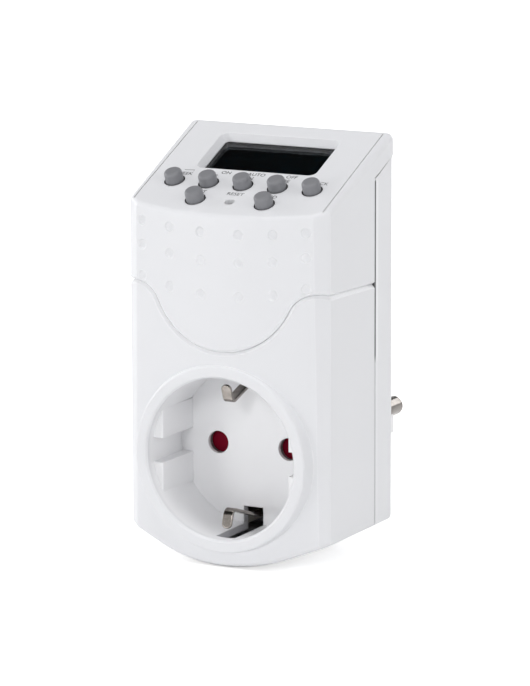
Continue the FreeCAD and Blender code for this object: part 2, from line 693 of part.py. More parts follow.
def groove_edges(solid, offset):
    """Edges of the groove's wall that lie on the outer skin."""
    core = front_form(WALL / 2)
    found = []
    for edge in solid.Edges:
        low, high = edge.ParameterRange
        points = [edge.valueAt(low + (high - low) * share) for share in (0, 0.35, 0.65, 1)]
        on_wall = all(abs(p.z - groove_z(p, offset)) < 0.02 for p in points)
        if on_wall and not any(core.isInside(p, TOUCH, True) for p in points):
            found.append(edge)
    return found


# Control cover

def rounded_rectangle(x0, x1, y0, y1, z, radius):
    corners = [Vector(x0, y0, z), Vector(x1, y0, z), Vector(x1, y1, z), Vector(x0, y1, z)]
    plate = polygon_face(corners).extrude(Vector(0, 0, 1))
    uprights = [edge for edge in plate.Edges if abs(edge.tangentAt(0).z) > 0.99]
    plate = plate.makeFillet(radius, uprights)
    low = [face for face in plate.Faces if abs(face.CenterOfMass.z - z) < 1e-6]
    return low[0].OuterWire


def window_cutter():
    """Display window, narrowing from the control face down to the lens."""
    growth = WINDOW_BEVEL / LENS_DROP
    wires = []
    for z, grow in ((0.4, 0.4 * growth), (-LENS_DROP - 0.1, -WINDOW_BEVEL - 0.1 * growth)):
        wires.append(rounded_rectangle(-WINDOW_HALF_WIDTH - grow, WINDOW_HALF_WIDTH + grow,
                                       WINDOW_LOW - grow, WINDOW_HIGH + grow, z, WINDOW_ROUND + grow))
    return on_slope(Part.makeLoft(wires, True, True))


def button_places():
    """Five buttons in the upper row and two in the lower one, as (x, up the slope)."""
    upper = [(column * BUTTON_PITCH, BUTTON_ROW_HIGH) for column in (-2, -1, 0, 1, 2)]
    lower = [(column * BUTTON_PITCH, BUTTON_ROW_LOW) for column in (-1, 1)]
    return upper + lower


def dimple_cutters():
    """Shallow pans with sloping rims in arched rows, square to the bowed front."""
    cutters = []
    for middle_z, sag in DIMPLE_ROWS:
        for inset in DIMPLE_INSETS:
            x = HALF_WIDTH_FRONT - inset
            z = middle_z + sag * x * x
            for side in (-1, 1):
                turn = side * x / FRONT_RADIUS
                inwards = Vector(-turn, math.sqrt(1 - turn * turn), 0)
                rim = Vector(side * x, at(front_depth(x, z)), z)
                cone = Part.makeCone(DIMPLE_RADIUS + DIMPLE_OVER, DIMPLE_RADIUS - DIMPLE_DEPTH,
                                     DIMPLE_OVER + DIMPLE_DEPTH, rim - inwards * DIMPLE_OVER, inwards)
                cutters.append(cone)
    return cutters


def board_post_places():
    """Middles of the display board's posts, as (x, up the slope)."""
    rows = (DISPLAY_BOARD_LOW + POST_LOW, DISPLAY_BOARD_HIGH - POST_HIGH)
    return [(side * POST_X, up) for up in rows for side in (-1, 1)]


def control_cover():
    cover = shell(front_form).common(groove_region(GROOVE_GAP / 2)).cut(rear_region(SEAM_GAP))
    cover = cover.makeChamfer(GROOVE_CHAMFER, groove_edges(cover, GROOVE_GAP / 2))
    bosses = [housing_boss(x, z) for x, z in screw_places() if z > 0]
    posts = [slope_rod(x, up, WALL - TOUCH, BOARD_DROP, POST_RADIUS)
             for x, up in board_post_places()]
    cover = fused([cover] + bosses + posts)
    button_holes = [slope_rod(x, up, -1, WALL + 1, BUTTON_HOLE_RADIUS) for x, up in button_places()]
    reset_hole = slope_rod(0, BUTTON_ROW_LOW, -1, WALL + 1, RESET_HOLE_RADIUS)
    lines = [slope_box(x - SIDE_LINE_WIDTH / 2, x + SIDE_LINE_WIDTH / 2, SIDE_LINE_LOW,
                       SIDE_LINE_HIGH, -1, SIDE_LINE_DEPTH) for x in (-SIDE_LINE_X, SIDE_LINE_X)]
    screw_holes = [housing_boss_hole(x, z) for x, z in screw_places() if z > 0]
    post_holes = [slope_rod(x, up, WALL + 1, BOARD_DROP + 1, SMALL_SCREW_RADIUS + SCREW_CLEARANCE)
                  for x, up in board_post_places()]
    cutters = button_holes + [reset_hole, window_cutter()] + lines + screw_holes + post_holes
    return cover.cut(cutters).cut(dimple_cutters())


# Rear cover and plug

def plug_form(inset, depth0, depth1):
    """Round plug body with two flats beside a guide rib on each side."""
    body = rod(0, 0, depth0, depth1, PLUG_RADIUS - inset)
    flat_x = PLUG_FLAT_X - inset
    rib = max(PLUG_RIB / 2 - inset, 0)
    cutters = []
    for side in (-1, 1):
        x0, x1 = sorted((side * flat_x, side * FAR))
        if rib:
            cutters.append(box(x0, x1, depth0 - 1, depth1 + 1, rib, FAR))
            cutters.append(box(x0, x1, depth0 - 1, depth1 + 1, -FAR, -rib))
        else:
            cutters.append(box(x0, x1, depth0 - 1, depth1 + 1, -FAR, FAR))
    return body.cut(cutters)


def plug_shell():
    end = PLUG_END
    outer = plug_form(0, BODY_DEPTH - WALL / 2, end)
    rim = [edge for edge in outer.Edges
           if all(abs(v.Point.y - at(end)) < TOUCH for v in edge.Vertexes) and edge.Length > 0.5]
    outer = outer.makeChamfer(PLUG_CHAMFER, rim)
    half = PLUG_GROOVE_WIDTH / 2
    for lift in (-1, 1):
        z0, z1 = sorted((lift * PLUG_GROOVE_FLOOR, lift * FAR))
        outer = outer.cut(box(-half, half, BODY_DEPTH, end - PLUG_GROOVE_END, z0, z1))
    return outer


def plug_hollow():
    """Space inside the plug, shallower over the two earth grooves."""
    hollow = plug_form(PLUG_WALL, BODY_DEPTH - WALL - 1, PLUG_END - PLUG_END_WALL)
    half = PLUG_GROOVE_WIDTH / 2 + WALL
    for lift in (-1, 1):
        z0, z1 = sorted((lift * (PLUG_GROOVE_FLOOR - PLUG_WALL), lift * FAR))
        hollow = hollow.cut(box(-half, half, 0, FAR, z0, z1))
    return hollow


def plug_earth_slots():
    """Slots where the plug's earth strips pass into its hollow."""
    half = STRAP_WIDTH / 2 + EARTH_SLOT_GAP / 2
    back = EARTH_SLOT_DEPTH + STRAP_THICK + EARTH_SLOT_GAP
    slots = []
    for lift in (-1, 1):
        z0, z1 = sorted((lift * (PLUG_GROOVE_FLOOR - PLUG_WALL - 1), lift * (PLUG_RADIUS + 1)))
        slots.append(box(-half, half, EARTH_SLOT_DEPTH, back, z0, z1))
    return slots


def seam_edges(solid):
    """Edges of the rear cover's upright seam that lie on the outer skin."""
    core = rear_form(WALL / 2)
    found = []
    for edge in solid.Edges:
        low, high = edge.ParameterRange
        points = [edge.valueAt(low + (high - low) * share) for share in (0, 0.35, 0.65, 1)]
        on_seam = all(abs(p.y - at(SEAM_DEPTH)) < TOUCH for p in points)
        if on_seam and not any(core.isInside(p, TOUCH, True) for p in points):
            found.append(edge)
    return found


def rear_cover():
    cover = shell(rear_form).common(rear_region(0))
    cover = cover.makeChamfer(SEAM_CHAMFER, seam_edges(cover))
    tubes = [rod(x, z, SEAM_DEPTH + 0.3, BODY_DEPTH - WALL / 2, SCREW_TUBE_RADIUS)
             for x, z in screw_places()]
    tubes = [tube.common(rear_form(WALL / 2)) for tube in tubes]
    pads = [rod(x, z, POWER_BOARD_BACK, BODY_DEPTH - WALL / 2, PAD_RADIUS)
            for x, z in board_screw_places()]
    cover = fused([cover, rear_lip(), plug_shell()] + tubes + pads)
    bores = []
    for x, z in screw_places():
        bores.append(rod(x, z, SCREW_SEAT_DEPTH, BODY_DEPTH + 1, SCREW_HEAD_RADIUS + SCREW_HEAD_GAP))
        bores.append(rod(x, z, SEAM_DEPTH - 1, SCREW_SEAT_DEPTH + 1, SCREW_RADIUS + THROUGH_CLEARANCE))
    for x, z in board_screw_places():
        bores.append(rod(x, z, POWER_BOARD_DEPTH, BODY_DEPTH - PAD_SKIN,
                         SMALL_SCREW_RADIUS + SCREW_CLEARANCE))
    inside = PLUG_END - PLUG_END_WALL
    for x in (-HALF_PITCH, HALF_PITCH):
        bores.append(rod(x, 0, inside - 1, PLUG_END + 1, PIN_SEAT_RADIUS + TOUCH))
        bores.append(rod(x, 0, inside - PIN_COLLAR - 1, inside, PIN_COLLAR_RADIUS + TOUCH))
    return cover.cut([plug_hollow()] + bores + plug_earth_slots())


def rear_lip():
    """Locating lip inside the seam, on the sides and the bottom."""
    layer = lip_layer(rear_form)
    layer = layer.common(box(-FAR, FAR, SEAM_DEPTH - LIP_REACH, SEAM_DEPTH + LIP_REACH, -FAR, FAR))
    layer = layer.cut(slope_box(-FAR, FAR, -FAR, FAR, -FAR, BOARD_UNDER + 1))
    layer = layer.cut(box(-FAR, FAR, 0, SEAM_DEPTH, GROOVE_TOP - 5, GROOVE_TOP + 4))
    foot = rear_form(WALL / 2).cut(rear_form(WALL + LIP_GAP + LIP))
    foot = foot.common(box(-FAR, FAR, SEAM_DEPTH + 0.6, SEAM_DEPTH + LIP_REACH, -FAR, FAR))
    foot = foot.cut(slope_box(-FAR, FAR, -FAR, FAR, -FAR, BOARD_UNDER + 1))
    keep_clear = [rod(x, z, 0, SEAM_DEPTH, BOSS_RADIUS + 0.3) for x, z in screw_places()]
    return layer.cut(keep_clear).fuse(foot.common(rear_region(0)))


# Pins, contacts and earth parts

def strip_path(points, radii, thickness, width, middle_x):
    """Bent strip of metal: a path of (depth, z) points with rounded corners, widened along X."""
    corners = [Vector(middle_x - width / 2, at(depth), z) for depth, z in points]
    pieces = []
    trimmed = [corners[0]]
    arcs = []
    for before, corner, after, radius in zip(corners, corners[1:], corners[2:], radii):
        to_before = (before - corner).normalize()
        to_after = (after - corner).normalize()
        half = to_before.getAngle(to_after) / 2
        start = corner + to_before * (radius / math.tan(half))
        end = corner + to_after * (radius / math.tan(half))
        centre = corner + (to_before + to_after).normalize() * (radius / math.sin(half))
        trimmed += [start, end]
        arcs.append((centre, start, end, radius))
    trimmed.append(corners[-1])
    sideways = Vector(1, 0, 0)
    for start, end in zip(trimmed[0::2], trimmed[1::2]):
        across = sideways.cross((end - start).normalize()) * (thickness / 2)
        outline = [start + across, end + across, end - across, start - across]
        pieces.append(polygon_face(outline).extrude(sideways * width))
    for centre, start, end, radius in arcs:
        pieces.append(bent_sector(centre, start, end, radius, thickness, width))
    return fused(pieces)


def bent_sector(centre, start, end, radius, thickness, width):
    """One bend: the ring sector between two points round a centre."""
    inner = radius - thickness / 2
    outer = radius + thickness / 2
    first = (start - centre).normalize()
    last = (end - centre).normalize()
    between = (first + last).normalize()
    outside = Part.Arc(centre + first * outer, centre + between * outer, centre + last * outer)
    inside = Part.Arc(centre + first * inner, centre + between * inner, centre + last * inner)
    edges = [outside.toShape(), Part.makeLine(centre + last * outer, centre + last * inner),
             inside.toShape(), Part.makeLine(centre + first * inner, centre + first * outer)]
    face = Part.Face(Part.Wire(Part.sortEdges(edges)[0]))
    return face.extrude(Vector(width, 0, 0))


def lower_earth_clip():
    """Spring strip from its root through the floor slot, bent to a nose, its tip turned out."""
    nose = RECESS_RADIUS - CLIP_NOSE_INSET
    tip = RECESS_RADIUS - CLIP_TIP_INSET
    points = [(CLIP_ROOT_DEPTH, -CLIP_ROOT_HEIGHT), (RECESS_DEPTH + 1, -CLIP_ROOT_HEIGHT),
              (CLIP_NOSE_DEPTH, -nose), (CLIP_TIP_DEPTH, -tip)]
    clip = strip_path(points, [5 * CLIP_THICK, CLIP_NOSE_RADIUS], CLIP_THICK, CLIP_WIDTH, 0)
    ends = [Vector(side * CLIP_WIDTH / 2, at(CLIP_TIP_DEPTH), -tip) for side in (-1, 1)]
    corners = [edge for edge in clip.Edges
               if abs(edge.Length - CLIP_THICK) < TOUCH
               and any(middle_of(edge).distanceToPoint(end) < TOUCH for end in ends)]
    clip = clip.makeFillet(CLIP_TIP_ROUND, corners)
    sides = [edge for edge in clip.Edges
             if abs(abs(middle_of(edge).x) - CLIP_WIDTH / 2) < TOUCH
             and edge.Length > CLIP_THICK + TOUCH]
    return clip.makeFillet(CLIP_EDGE_ROUND, sides)


def earth_strap():
    """Strap behind the contact carrier that joins both clips to the plug's earth strips."""
    depth = CARRIER_BACK + TOUCH + STRAP_THICK / 2
    root = CLIP_ROOT_DEPTH + 0.3
    points = [(root, CLIP_ROOT_HEIGHT), (depth, CLIP_ROOT_HEIGHT),
              (depth, -CLIP_ROOT_HEIGHT), (root, -CLIP_ROOT_HEIGHT)]
    bend = 1.5 * STRAP_THICK
    return strip_path(points, [bend, bend], STRAP_THICK, STRAP_WIDTH, 0)


def plug_earth_contacts():
    """Two strips that lie in the plug's grooves and pass inwards to the strap."""
    strap_back = CARRIER_BACK + TOUCH + STRAP_THICK
    lie = PLUG_GROOVE_FLOOR + TOUCH + STRAP_THICK / 2
    inside = PLUG_GROOVE_FLOOR - PLUG_WALL - 2 * STRAP_THICK
    crossing = EARTH_SLOT_DEPTH + EARTH_SLOT_GAP / 2 + STRAP_THICK / 2
    points = [(strap_back + TOUCH, inside), (crossing, inside),
              (crossing, lie), (PLUG_END - PLUG_GROOVE_END - EARTH_SLOT_GAP, lie)]
    upper = strip_path(points, [STRAP_THICK, STRAP_THICK], STRAP_THICK, STRAP_WIDTH, 0)
    return Part.makeCompound([upper, upside_down(upper)])


def plug_pin(side):
    """Round pin, thicker in the end wall, with a collar behind it and a tail for its strip."""
    x = side * HALF_PITCH
    inside = PLUG_END - PLUG_END_WALL
    shank = rod(x, 0, PLUG_END - TOUCH, PLUG_END + PIN_LENGTH, PIN_RADIUS)
    tip = [edge for edge in shank.Edges if abs(middle_of(edge).y - at(PLUG_END + PIN_LENGTH)) < TOUCH]
    shank = shank.makeFillet(PIN_TIP, tip)
    seat = rod(x, 0, inside - PIN_COLLAR, PLUG_END - TOUCH, PIN_SEAT_RADIUS)
    collar = rod(x, 0, inside - PIN_COLLAR - TOUCH, inside - TOUCH, PIN_COLLAR_RADIUS)
    tail = rod(x, 0, inside - PIN_COLLAR - PIN_TAIL, inside - PIN_COLLAR, PIN_TAIL_RADIUS)
    return fused([shank, seat, collar, tail])


def socket_contact(side, tail_end):
    """Slit spring sleeve that grips a pin, with a tail through the carrier."""
    x = side * HALF_PITCH
    front = pocket_front() + 0.8
    back = CARRIER_BASE_DEPTH - TOUCH
    outer = POCKET_RADIUS - CONTACT_GAP
    sleeve = rod(x, 0, front, back, outer).cut(rod(x, 0, front - 1, back - 1, outer - CONTACT_WALL))
    half = CONTACT_SLIT / 2
    sleeve = sleeve.cut(box(x - half, x + half, front - 1, back - 3, -outer - 1, outer + 1))
    tail = rod(x, 0, back - 1, tail_end, CONTACT_TAIL_RADIUS)
    return sleeve.fuse(tail).removeSplitter()


def strip_from_pin(side, top):
    """Current strip from a pin's tail forwards to the carrier and up to a height."""
    low = -PIN_TAIL_RADIUS - STRIP_THICK / 2 - TOUCH
    depth = STRIP_DEPTH + STRIP_THICK / 2
    start = PLUG_END - PLUG_END_WALL - PIN_COLLAR - EARTH_SLOT_GAP / 2
    points = [(start, low), (depth, low), (depth, top)]
    return strip_path(points, [1.6 * STRIP_THICK], STRIP_THICK, STRIP_WIDTH, side * HALF_PITCH)


def live_input_strip():
    """From the left pin's tail to the power board's lower edge."""
    return strip_from_pin(-1, POWER_BOARD_LOW + 2.5)


def neutral_strip():
    """From the right pin's tail to the right socket contact's tail."""
    return strip_from_pin(1, 2 * CONTACT_TAIL_RADIUS)


def live_output_strip():
    """From the left socket contact's tail up to the power board, flat behind the carrier."""
    depth0 = CARRIER_BACK + TOUCH
    depth1 = depth0 + OUTPUT_STRIP_THICK
    left = -HALF_PITCH - OUTPUT_STRIP_OFFSET
    half = STRIP_WIDTH / 2
    riser = box(left, left + STRIP_WIDTH, depth0, depth1, -half, POWER_BOARD_LOW - TOUCH)
    foot = box(left, -HALF_PITCH - CONTACT_TAIL_RADIUS - TOUCH, depth0, depth1, -half, half)
    return riser.fuse(foot).removeSplitter()


# Carrier and shutter

def pocket_front():
    """Depth where the carrier's contact pockets begin, just behind the shutter."""
    return SHUTTER_BACK + SHUTTER_GAP + 0.2


def contact_carrier():
    """Round base with a skirt, two contact pockets and the shutter's axle."""
    base = rod(0, 0, CARRIER_BASE_DEPTH, CARRIER_BACK, CARRIER_RADIUS)
    skirt = rod(0, 0, FLOOR_BACK + TOUCH, CARRIER_BACK, CARRIER_RADIUS)
    skirt = skirt.cut(rod(0, 0, 0, CARRIER_BACK, CARRIER_RADIUS - CARRIER_SKIRT))
    pockets = [rod(side * HALF_PITCH, 0, pocket_front(), CARRIER_BACK, POCKET_RADIUS + POCKET_WALL)
               for side in (-1, 1)]
    axle = rod(0, 0, FLOOR_BACK + SHUTTER_GAP / 2, CARRIER_BACK, AXLE_RADIUS)
    shoulder = rod(0, 0, SHUTTER_BACK + SPRING_LENGTH + 2 * SPRING_GAP, CARRIER_BACK,
                   AXLE_RADIUS + AXLE_SHOULDER)
    carrier = fused([base, skirt, axle, shoulder] + pockets)
    cutters = []
    for side in (-1, 1):
        tail_hole = CONTACT_TAIL_RADIUS + THROUGH_CLEARANCE
        cutters.append(rod(side * HALF_PITCH, 0, 0, CARRIER_BASE_DEPTH, POCKET_RADIUS))
        cutters.append(rod(side * HALF_PITCH, 0, 0, CARRIER_BACK + 1, tail_hole))
    half = STRAP_WIDTH / 2 + CONTACT_GAP
    for lift in (-1, 1):
        z0, z1 = sorted((lift * (CLIP_SLOT_LOW - CONTACT_GAP), lift * FAR))
        cutters.append(box(-half, half, 0, FAR, z0, z1))
    for x, z in carrier_post_places():
        cutters.append(rod(x, z, 0, CARRIER_BASE_DEPTH, CARRIER_POST_RADIUS + CONTACT_GAP))
        cutters.append(rod(x, z, 0, CARRIER_BACK + 1, SMALL_SCREW_RADIUS + THROUGH_CLEARANCE))
    cutters += [rod(x, z, 0, FAR, SCREW_TUBE_RADIUS + BOARD_GAP) for x, z in screw_places()]
    return carrier.cut(cutters)


def screw(x, z, seat, end, radius, head_radius, head):
    """Pan-head screw driven from behind: the head behind its seat, the shank going forwards."""
    shank = rod(x, z, end, seat + head / 2, radius)
    cap = rod(x, z, seat + TOUCH, seat + head, head_radius)
    rim = [edge for edge in cap.Edges if abs(middle_of(edge).y - at(seat + head)) < TOUCH]
    cap = cap.makeFillet(head * 0.35, rim)
    cross = 0.14 * head_radius
    arm = 0.6 * head_radius
    depth = seat + head * 0.45
    slots = [box(x - arm, x + arm, depth, seat + head + 1, z - cross, z + cross),
             box(x - cross, x + cross, depth, seat + head + 1, z - arm, z + arm)]
    return cap.fuse(shank).removeSplitter().cut(slots)


def carrier_screws():
    end = CARRIER_BASE_DEPTH - CARRIER_SCREW_REACH
    return Part.makeCompound([screw(x, z, CARRIER_BACK, end, SMALL_SCREW_RADIUS,
                                    SMALL_HEAD_RADIUS, SMALL_HEAD) for x, z in carrier_post_places()])


def housing_screws():
    return Part.makeCompound([screw(x, z, SCREW_SEAT_DEPTH, SCREW_END_DEPTH, SCREW_RADIUS,
                                    SCREW_HEAD_RADIUS, SCREW_HEAD) for x, z in screw_places()])


def shutter_vane(angle):
    """Wedge of a disc round the shutter's axle."""
    vane = Part.makeCylinder(SHUTTER_RADIUS, SHUTTER_THICK, Vector(0, at(SHUTTER_DEPTH), 0),
                             Vector(0, 1, 0), 2 * SHUTTER_HALF_ANGLE)
    middle = vane.CenterOfMass
    turned = math.degrees(math.atan2(-middle.z, middle.x))
    vane.rotate(Vector(0, 0, 0), Vector(0, 1, 0), angle - turned)
    return vane


def child_shutter():
    """Turning plate whose two vanes cover the pin holes."""
    hub = rod(0, 0, SHUTTER_DEPTH, SHUTTER_BACK, SHUTTER_HUB_RADIUS)
    plate = fused([hub, shutter_vane(0), shutter_vane(180)])
    return plate.cut(rod(0, 0, 0, FAR, AXLE_RADIUS + RUNNING_GAP))


def shutter_spring():
    """Plain sleeve that stands for the return spring round the axle."""
    front = SHUTTER_BACK + SPRING_GAP
    outer = AXLE_RADIUS + AXLE_SHOULDER - SPRING_GAP
    sleeve = rod(0, 0, front, front + SPRING_LENGTH, outer)
    return sleeve.cut(rod(0, 0, 0, FAR, outer - 0.7))


# Buttons and keypad

def button(x, up):
    """Cap with a rounded top, a retaining flange under the cover and a short stem."""
    flange_top = WALL + BUTTON_FLANGE_GAP
    flange_end = flange_top + BUTTON_FLANGE
    cap = slope_cone(x, up, -BUTTON_PROUD, flange_top + TOUCH, BUTTON_RADIUS - BUTTON_TAPER, BUTTON_RADIUS)
    top = [edge for edge in cap.Edges if abs(drop_of(edge.Vertexes[0].Point) + BUTTON_PROUD) < TOUCH
           and edge.Closed]
    cap = cap.makeFillet(BUTTON_ROUND, top)
    flange = slope_rod(x, up, flange_top, flange_end, BUTTON_FLANGE_RADIUS)
    stem = slope_rod(x, up, flange_end - TOUCH, DOME_DROP - TOUCH, BUTTON_STEM_RADIUS)
    return fused([cap, flange, stem])


def dome(x, up):
    """Outside, hollow and inner nub of one rubber dome."""
    outer = slope_cone(x, up, DOME_DROP, MAT_DROP + TOUCH, DOME_TOP_RADIUS, DOME_BASE_RADIUS)
    hollow = slope_cone(x, up, DOME_DROP + MAT_THICK, BOARD_DROP + TOUCH,
                        DOME_TOP_RADIUS - DOME_SKIN, DOME_BASE_RADIUS - DOME_SKIN)
    nub = slope_rod(x, up, DOME_DROP + MAT_THICK - TOUCH, PILL_DROP, PILL_RADIUS)
    return outer, hollow, nub


def keypad_mat():
    """Rubber sheet on the display board with a dome under each button."""
    sheet = slope_box(-MAT_HALF_WIDTH, MAT_HALF_WIDTH, BUTTON_ROW_LOW - MAT_MARGIN,
                      BUTTON_ROW_HIGH + MAT_MARGIN, MAT_DROP, BOARD_DROP - TOUCH / 2)
    domes = [dome(x, up) for x, up in button_places()]
    mat = fused([sheet] + [outer for outer, hollow, nub in domes])
    mat = mat.cut([hollow for outer, hollow, nub in domes])
    mat = fused([mat] + [nub for outer, hollow, nub in domes])
    corner = POST_RADIUS + CONTACT_GAP
    posts = [slope_box(x - corner, x + corner, up - FAR, up + corner, 0, BOARD_DROP + 1)
             for x, up in board_post_places() if up < WINDOW_LOW]
    half_width = RESET_SWITCH_WIDTH / 2 + CONTACT_GAP
    half_length = RESET_SWITCH_LENGTH / 2 + CONTACT_GAP
    reset = slope_box(-half_width, half_width, BUTTON_ROW_LOW - half_length,
                      BUTTON_ROW_LOW + half_length, 0, BOARD_DROP + 1)
    return mat.cut(posts + [reset])


def contact_pill(x, up):
    return slope_rod(x, up, PILL_DROP, PILL_DROP + PILL_THICK, PILL_RADIUS)


def reset_switch():
    """Low tact switch on the board with a round pocket for its plunger."""
    half_width = RESET_SWITCH_WIDTH / 2
    half_length = RESET_SWITCH_LENGTH / 2
    body = slope_box(-half_width, half_width, BUTTON_ROW_LOW - half_length,
                     BUTTON_ROW_LOW + half_length, RESET_SWITCH_DROP, BOARD_DROP)
    pocket_end = RESET_SWITCH_DROP + RESET_PLUNGER_SUNK + RESET_TRAVEL + TOUCH
    pocket = slope_rod(0, BUTTON_ROW_LOW, RESET_SWITCH_DROP - 1, pocket_end,
                       RESET_PLUNGER_RADIUS + RUNNING_GAP)
    return body.cut(pocket)


def reset_plunger():
    return slope_rod(0, BUTTON_ROW_LOW, RESET_SWITCH_DROP - RESET_PLUNGER_HEIGHT,
                     RESET_SWITCH_DROP + RESET_PLUNGER_SUNK, RESET_PLUNGER_RADIUS)


# Display

def lens_edges():
    """Half width, lower and upper edge of the lens, on the slope."""
    return WINDOW_HALF_WIDTH + LENS_SIDE, WINDOW_LOW - LENS_BELOW, WINDOW_HIGH + LENS_ABOVE


def frame_edges():
    half, low, high = lens_edges()
    return half + FRAME_SIDE, low - FRAME_BELOW, high


def pocket_edges():
    """Half width, lower and upper edge of the frame's pocket for the panel."""
    half, low, high = frame_edges()
    return half - FRAME_WALL, low + FRAME_WALL, high - FRAME_WALL


def display_lens():
    half, low, high = lens_edges()
    return slope_box(-half, half, low, high, LENS_DROP, LENS_DROP + LENS_THICK)


def lcd_frame():
    """Dark frame between the lens and the board that holds the liquid-crystal panel."""
    half, low, high = frame_edges()
    frame = slope_box(-half, half, low, high, FRAME_DROP, BOARD_DROP)
    view = WINDOW_BEVEL - TOUCH
    opening = slope_box(-WINDOW_HALF_WIDTH + view, WINDOW_HALF_WIDTH - view, WINDOW_LOW + view,
                        WINDOW_HIGH - view, 0, LCD_DROP)
    half, low, high = pocket_edges()
    pocket = slope_box(-half, half, low, high, LCD_DROP, BOARD_DROP + 1)
    return frame.cut([opening, pocket])


def lcd_panel():
    half, low, high = pocket_edges()
    gap = 2 * TOUCH
    return slope_box(-half + gap, half - gap, low + gap, high - gap, LCD_DROP, ZEBRA_DROP)


def zebra_strips():
    """Two rubber strips that join the panel's edges to the board."""
    half, low, high = pocket_edges()
    half -= ZEBRA_WIDTH
    low += ZEBRA_INSET
    high -= ZEBRA_INSET
    return Part.makeCompound([
        slope_box(-half, half, low, low + ZEBRA_WIDTH, ZEBRA_DROP, BOARD_DROP),
        slope_box(-half, half, high - ZEBRA_WIDTH, high, ZEBRA_DROP, BOARD_DROP)])


def display_board():
    board = slope_box(-DISPLAY_BOARD_HALF_WIDTH, DISPLAY_BOARD_HALF_WIDTH, DISPLAY_BOARD_LOW,
                      DISPLAY_BOARD_HIGH, BOARD_DROP, BOARD_UNDER)
    holes = [slope_rod(x, up, 0, BOARD_UNDER + 1, SMALL_SCREW_RADIUS + THROUGH_CLEARANCE)
             for x, up in board_post_places()]
    return board.common(front_form(WALL + CONTACT_GAP)).cut(holes)


def display_board_screws():
    """Four screws driven up from under the display board into the cover's posts."""
    screws = []
    for x, up in board_post_places():
        shank = slope_rod(x, up, WALL + 2, BOARD_UNDER + SMALL_HEAD / 2, SMALL_SCREW_RADIUS)
        head = slope_rod(x, up, BOARD_UNDER, BOARD_UNDER + SMALL_HEAD, SMALL_HEAD_RADIUS)
        screws.append(shank.fuse(head).removeSplitter())
    return Part.makeCompound(screws)


def controller_chip():
    """Black resin blob over the controller, under the display board."""
    ball = Part.makeSphere(CHIP_BALL, Vector(WINDOW_HALF_WIDTH / 2, BUTTON_ROW_HIGH + CHIP_ABOVE,
                                             CHIP_BALL - BOARD_UNDER - CHIP_HEIGHT))
    return on_slope(ball).common(slope_box(-FAR, FAR, -FAR, FAR, BOARD_UNDER, BOARD_UNDER + FAR))


def crystal():
    """Small watch crystal lying under the display board."""
    can = Part.makeCylinder(CRYSTAL_RADIUS, CRYSTAL_LENGTH,
                            Vector(1.5 * BUTTON_PITCH, BUTTON_ROW_LOW, -BOARD_UNDER - CRYSTAL_RADIUS),
                            Vector(0, 1, 0))
    return on_slope(can)


def backup_battery():
    """Small rechargeable button cell under the display board."""
    return slope_rod(-BUTTON_PITCH, BUTTON_ROW_HIGH - 1, BOARD_UNDER, BOARD_UNDER + BATTERY_HEIGHT,
                     BATTERY_RADIUS)


# Power board

def board_screw_places():
    """Middles of the power board's screws: two near its upper edge, one near its lower edge."""
    upper = POWER_BOARD_HIGH - 3
    return [(-POWER_SCREW_X, upper), (POWER_SCREW_X, upper), (0, POWER_BOARD_LOW + PAD_RADIUS)]


def power_board():
    half = POWER_BOARD_HALF_WIDTH
    board = box(-half, half, POWER_BOARD_DEPTH, POWER_BOARD_BACK, POWER_BOARD_LOW, POWER_BOARD_HIGH)
    notches = [rod(x, z, 0, FAR, SCREW_TUBE_RADIUS + BOARD_GAP) for x, z in screw_places()]
    holes = [rod(x, z, 0, FAR, SMALL_SCREW_RADIUS + THROUGH_CLEARANCE) for x, z in board_screw_places()]
    return board.cut(notches + holes)


def power_board_screws():
    """Three screws from the front through the power board into the rear cover's pads."""
    screws = []
    for x, z in board_screw_places():
        shank = rod(x, z, POWER_BOARD_DEPTH - POWER_SCREW_HEAD / 2, BODY_DEPTH - PAD_SKIN - BOARD_GAP,
                    SMALL_SCREW_RADIUS)
        head = rod(x, z, POWER_BOARD_DEPTH - POWER_SCREW_HEAD, POWER_BOARD_DEPTH, SMALL_HEAD_RADIUS)
        screws.append(shank.fuse(head).removeSplitter())
    return Part.makeCompound(screws)


def relay_place():
    """Left edge and top of the relay: beside the upper left screw tube, below the resistors."""
    left = -(HALF_WIDTH_FRONT - SCREW_INSET - SCREW_TUBE_RADIUS - BOARD_GAP) + PART_GAP
    return left, POWER_BOARD_HIGH - RELAY_TOP


def board_case(x0, z0, width, length, height):
    """Box-shaped part on the power board, its upright edges rounded."""
    case = box(x0, x0 + width, POWER_BOARD_DEPTH - height, POWER_BOARD_DEPTH, z0, z0 + length)
    uprights = [edge for edge in case.Edges if abs(edge.tangentAt(0).y) > 0.99]
    return case.makeFillet(CASE_ROUND, uprights)


def relay():
    left, top = relay_place()
    return board_case(left, top - RELAY_LENGTH, RELAY_WIDTH, RELAY_LENGTH, RELAY_HEIGHT)


def film_capacitor_edges():
    """Left and right edge of the film capacitor, which fills the board beside the relay."""
    left, top = relay_place()
    return left + RELAY_WIDTH + 2 * PART_GAP, -left


def film_capacitor():
    left, top = relay_place()
    x0, x1 = film_capacitor_edges()
    return board_case(x0, top - CAPACITOR_LENGTH, x1 - x0, CAPACITOR_LENGTH, CAPACITOR_HEIGHT)


def filter_capacitor_place():
    """Middle of the round capacitor, below the film capacitor's left end."""
    left, top = relay_place()
    x0, x1 = film_capacitor_edges()
    return x0 + FILTER_RADIUS, top - CAPACITOR_LENGTH - PART_GAP - FILTER_RADIUS


def filter_capacitor():
    """Round electrolytic capacitor standing on the power board."""
    x, z = filter_capacitor_place()
    can = rod(x, z, POWER_BOARD_DEPTH - FILTER_HEIGHT, POWER_BOARD_DEPTH, FILTER_RADIUS)
    rims = [edge for edge in can.Edges if edge.Closed]
    return can.makeFillet(CASE_ROUND / 2, rims)


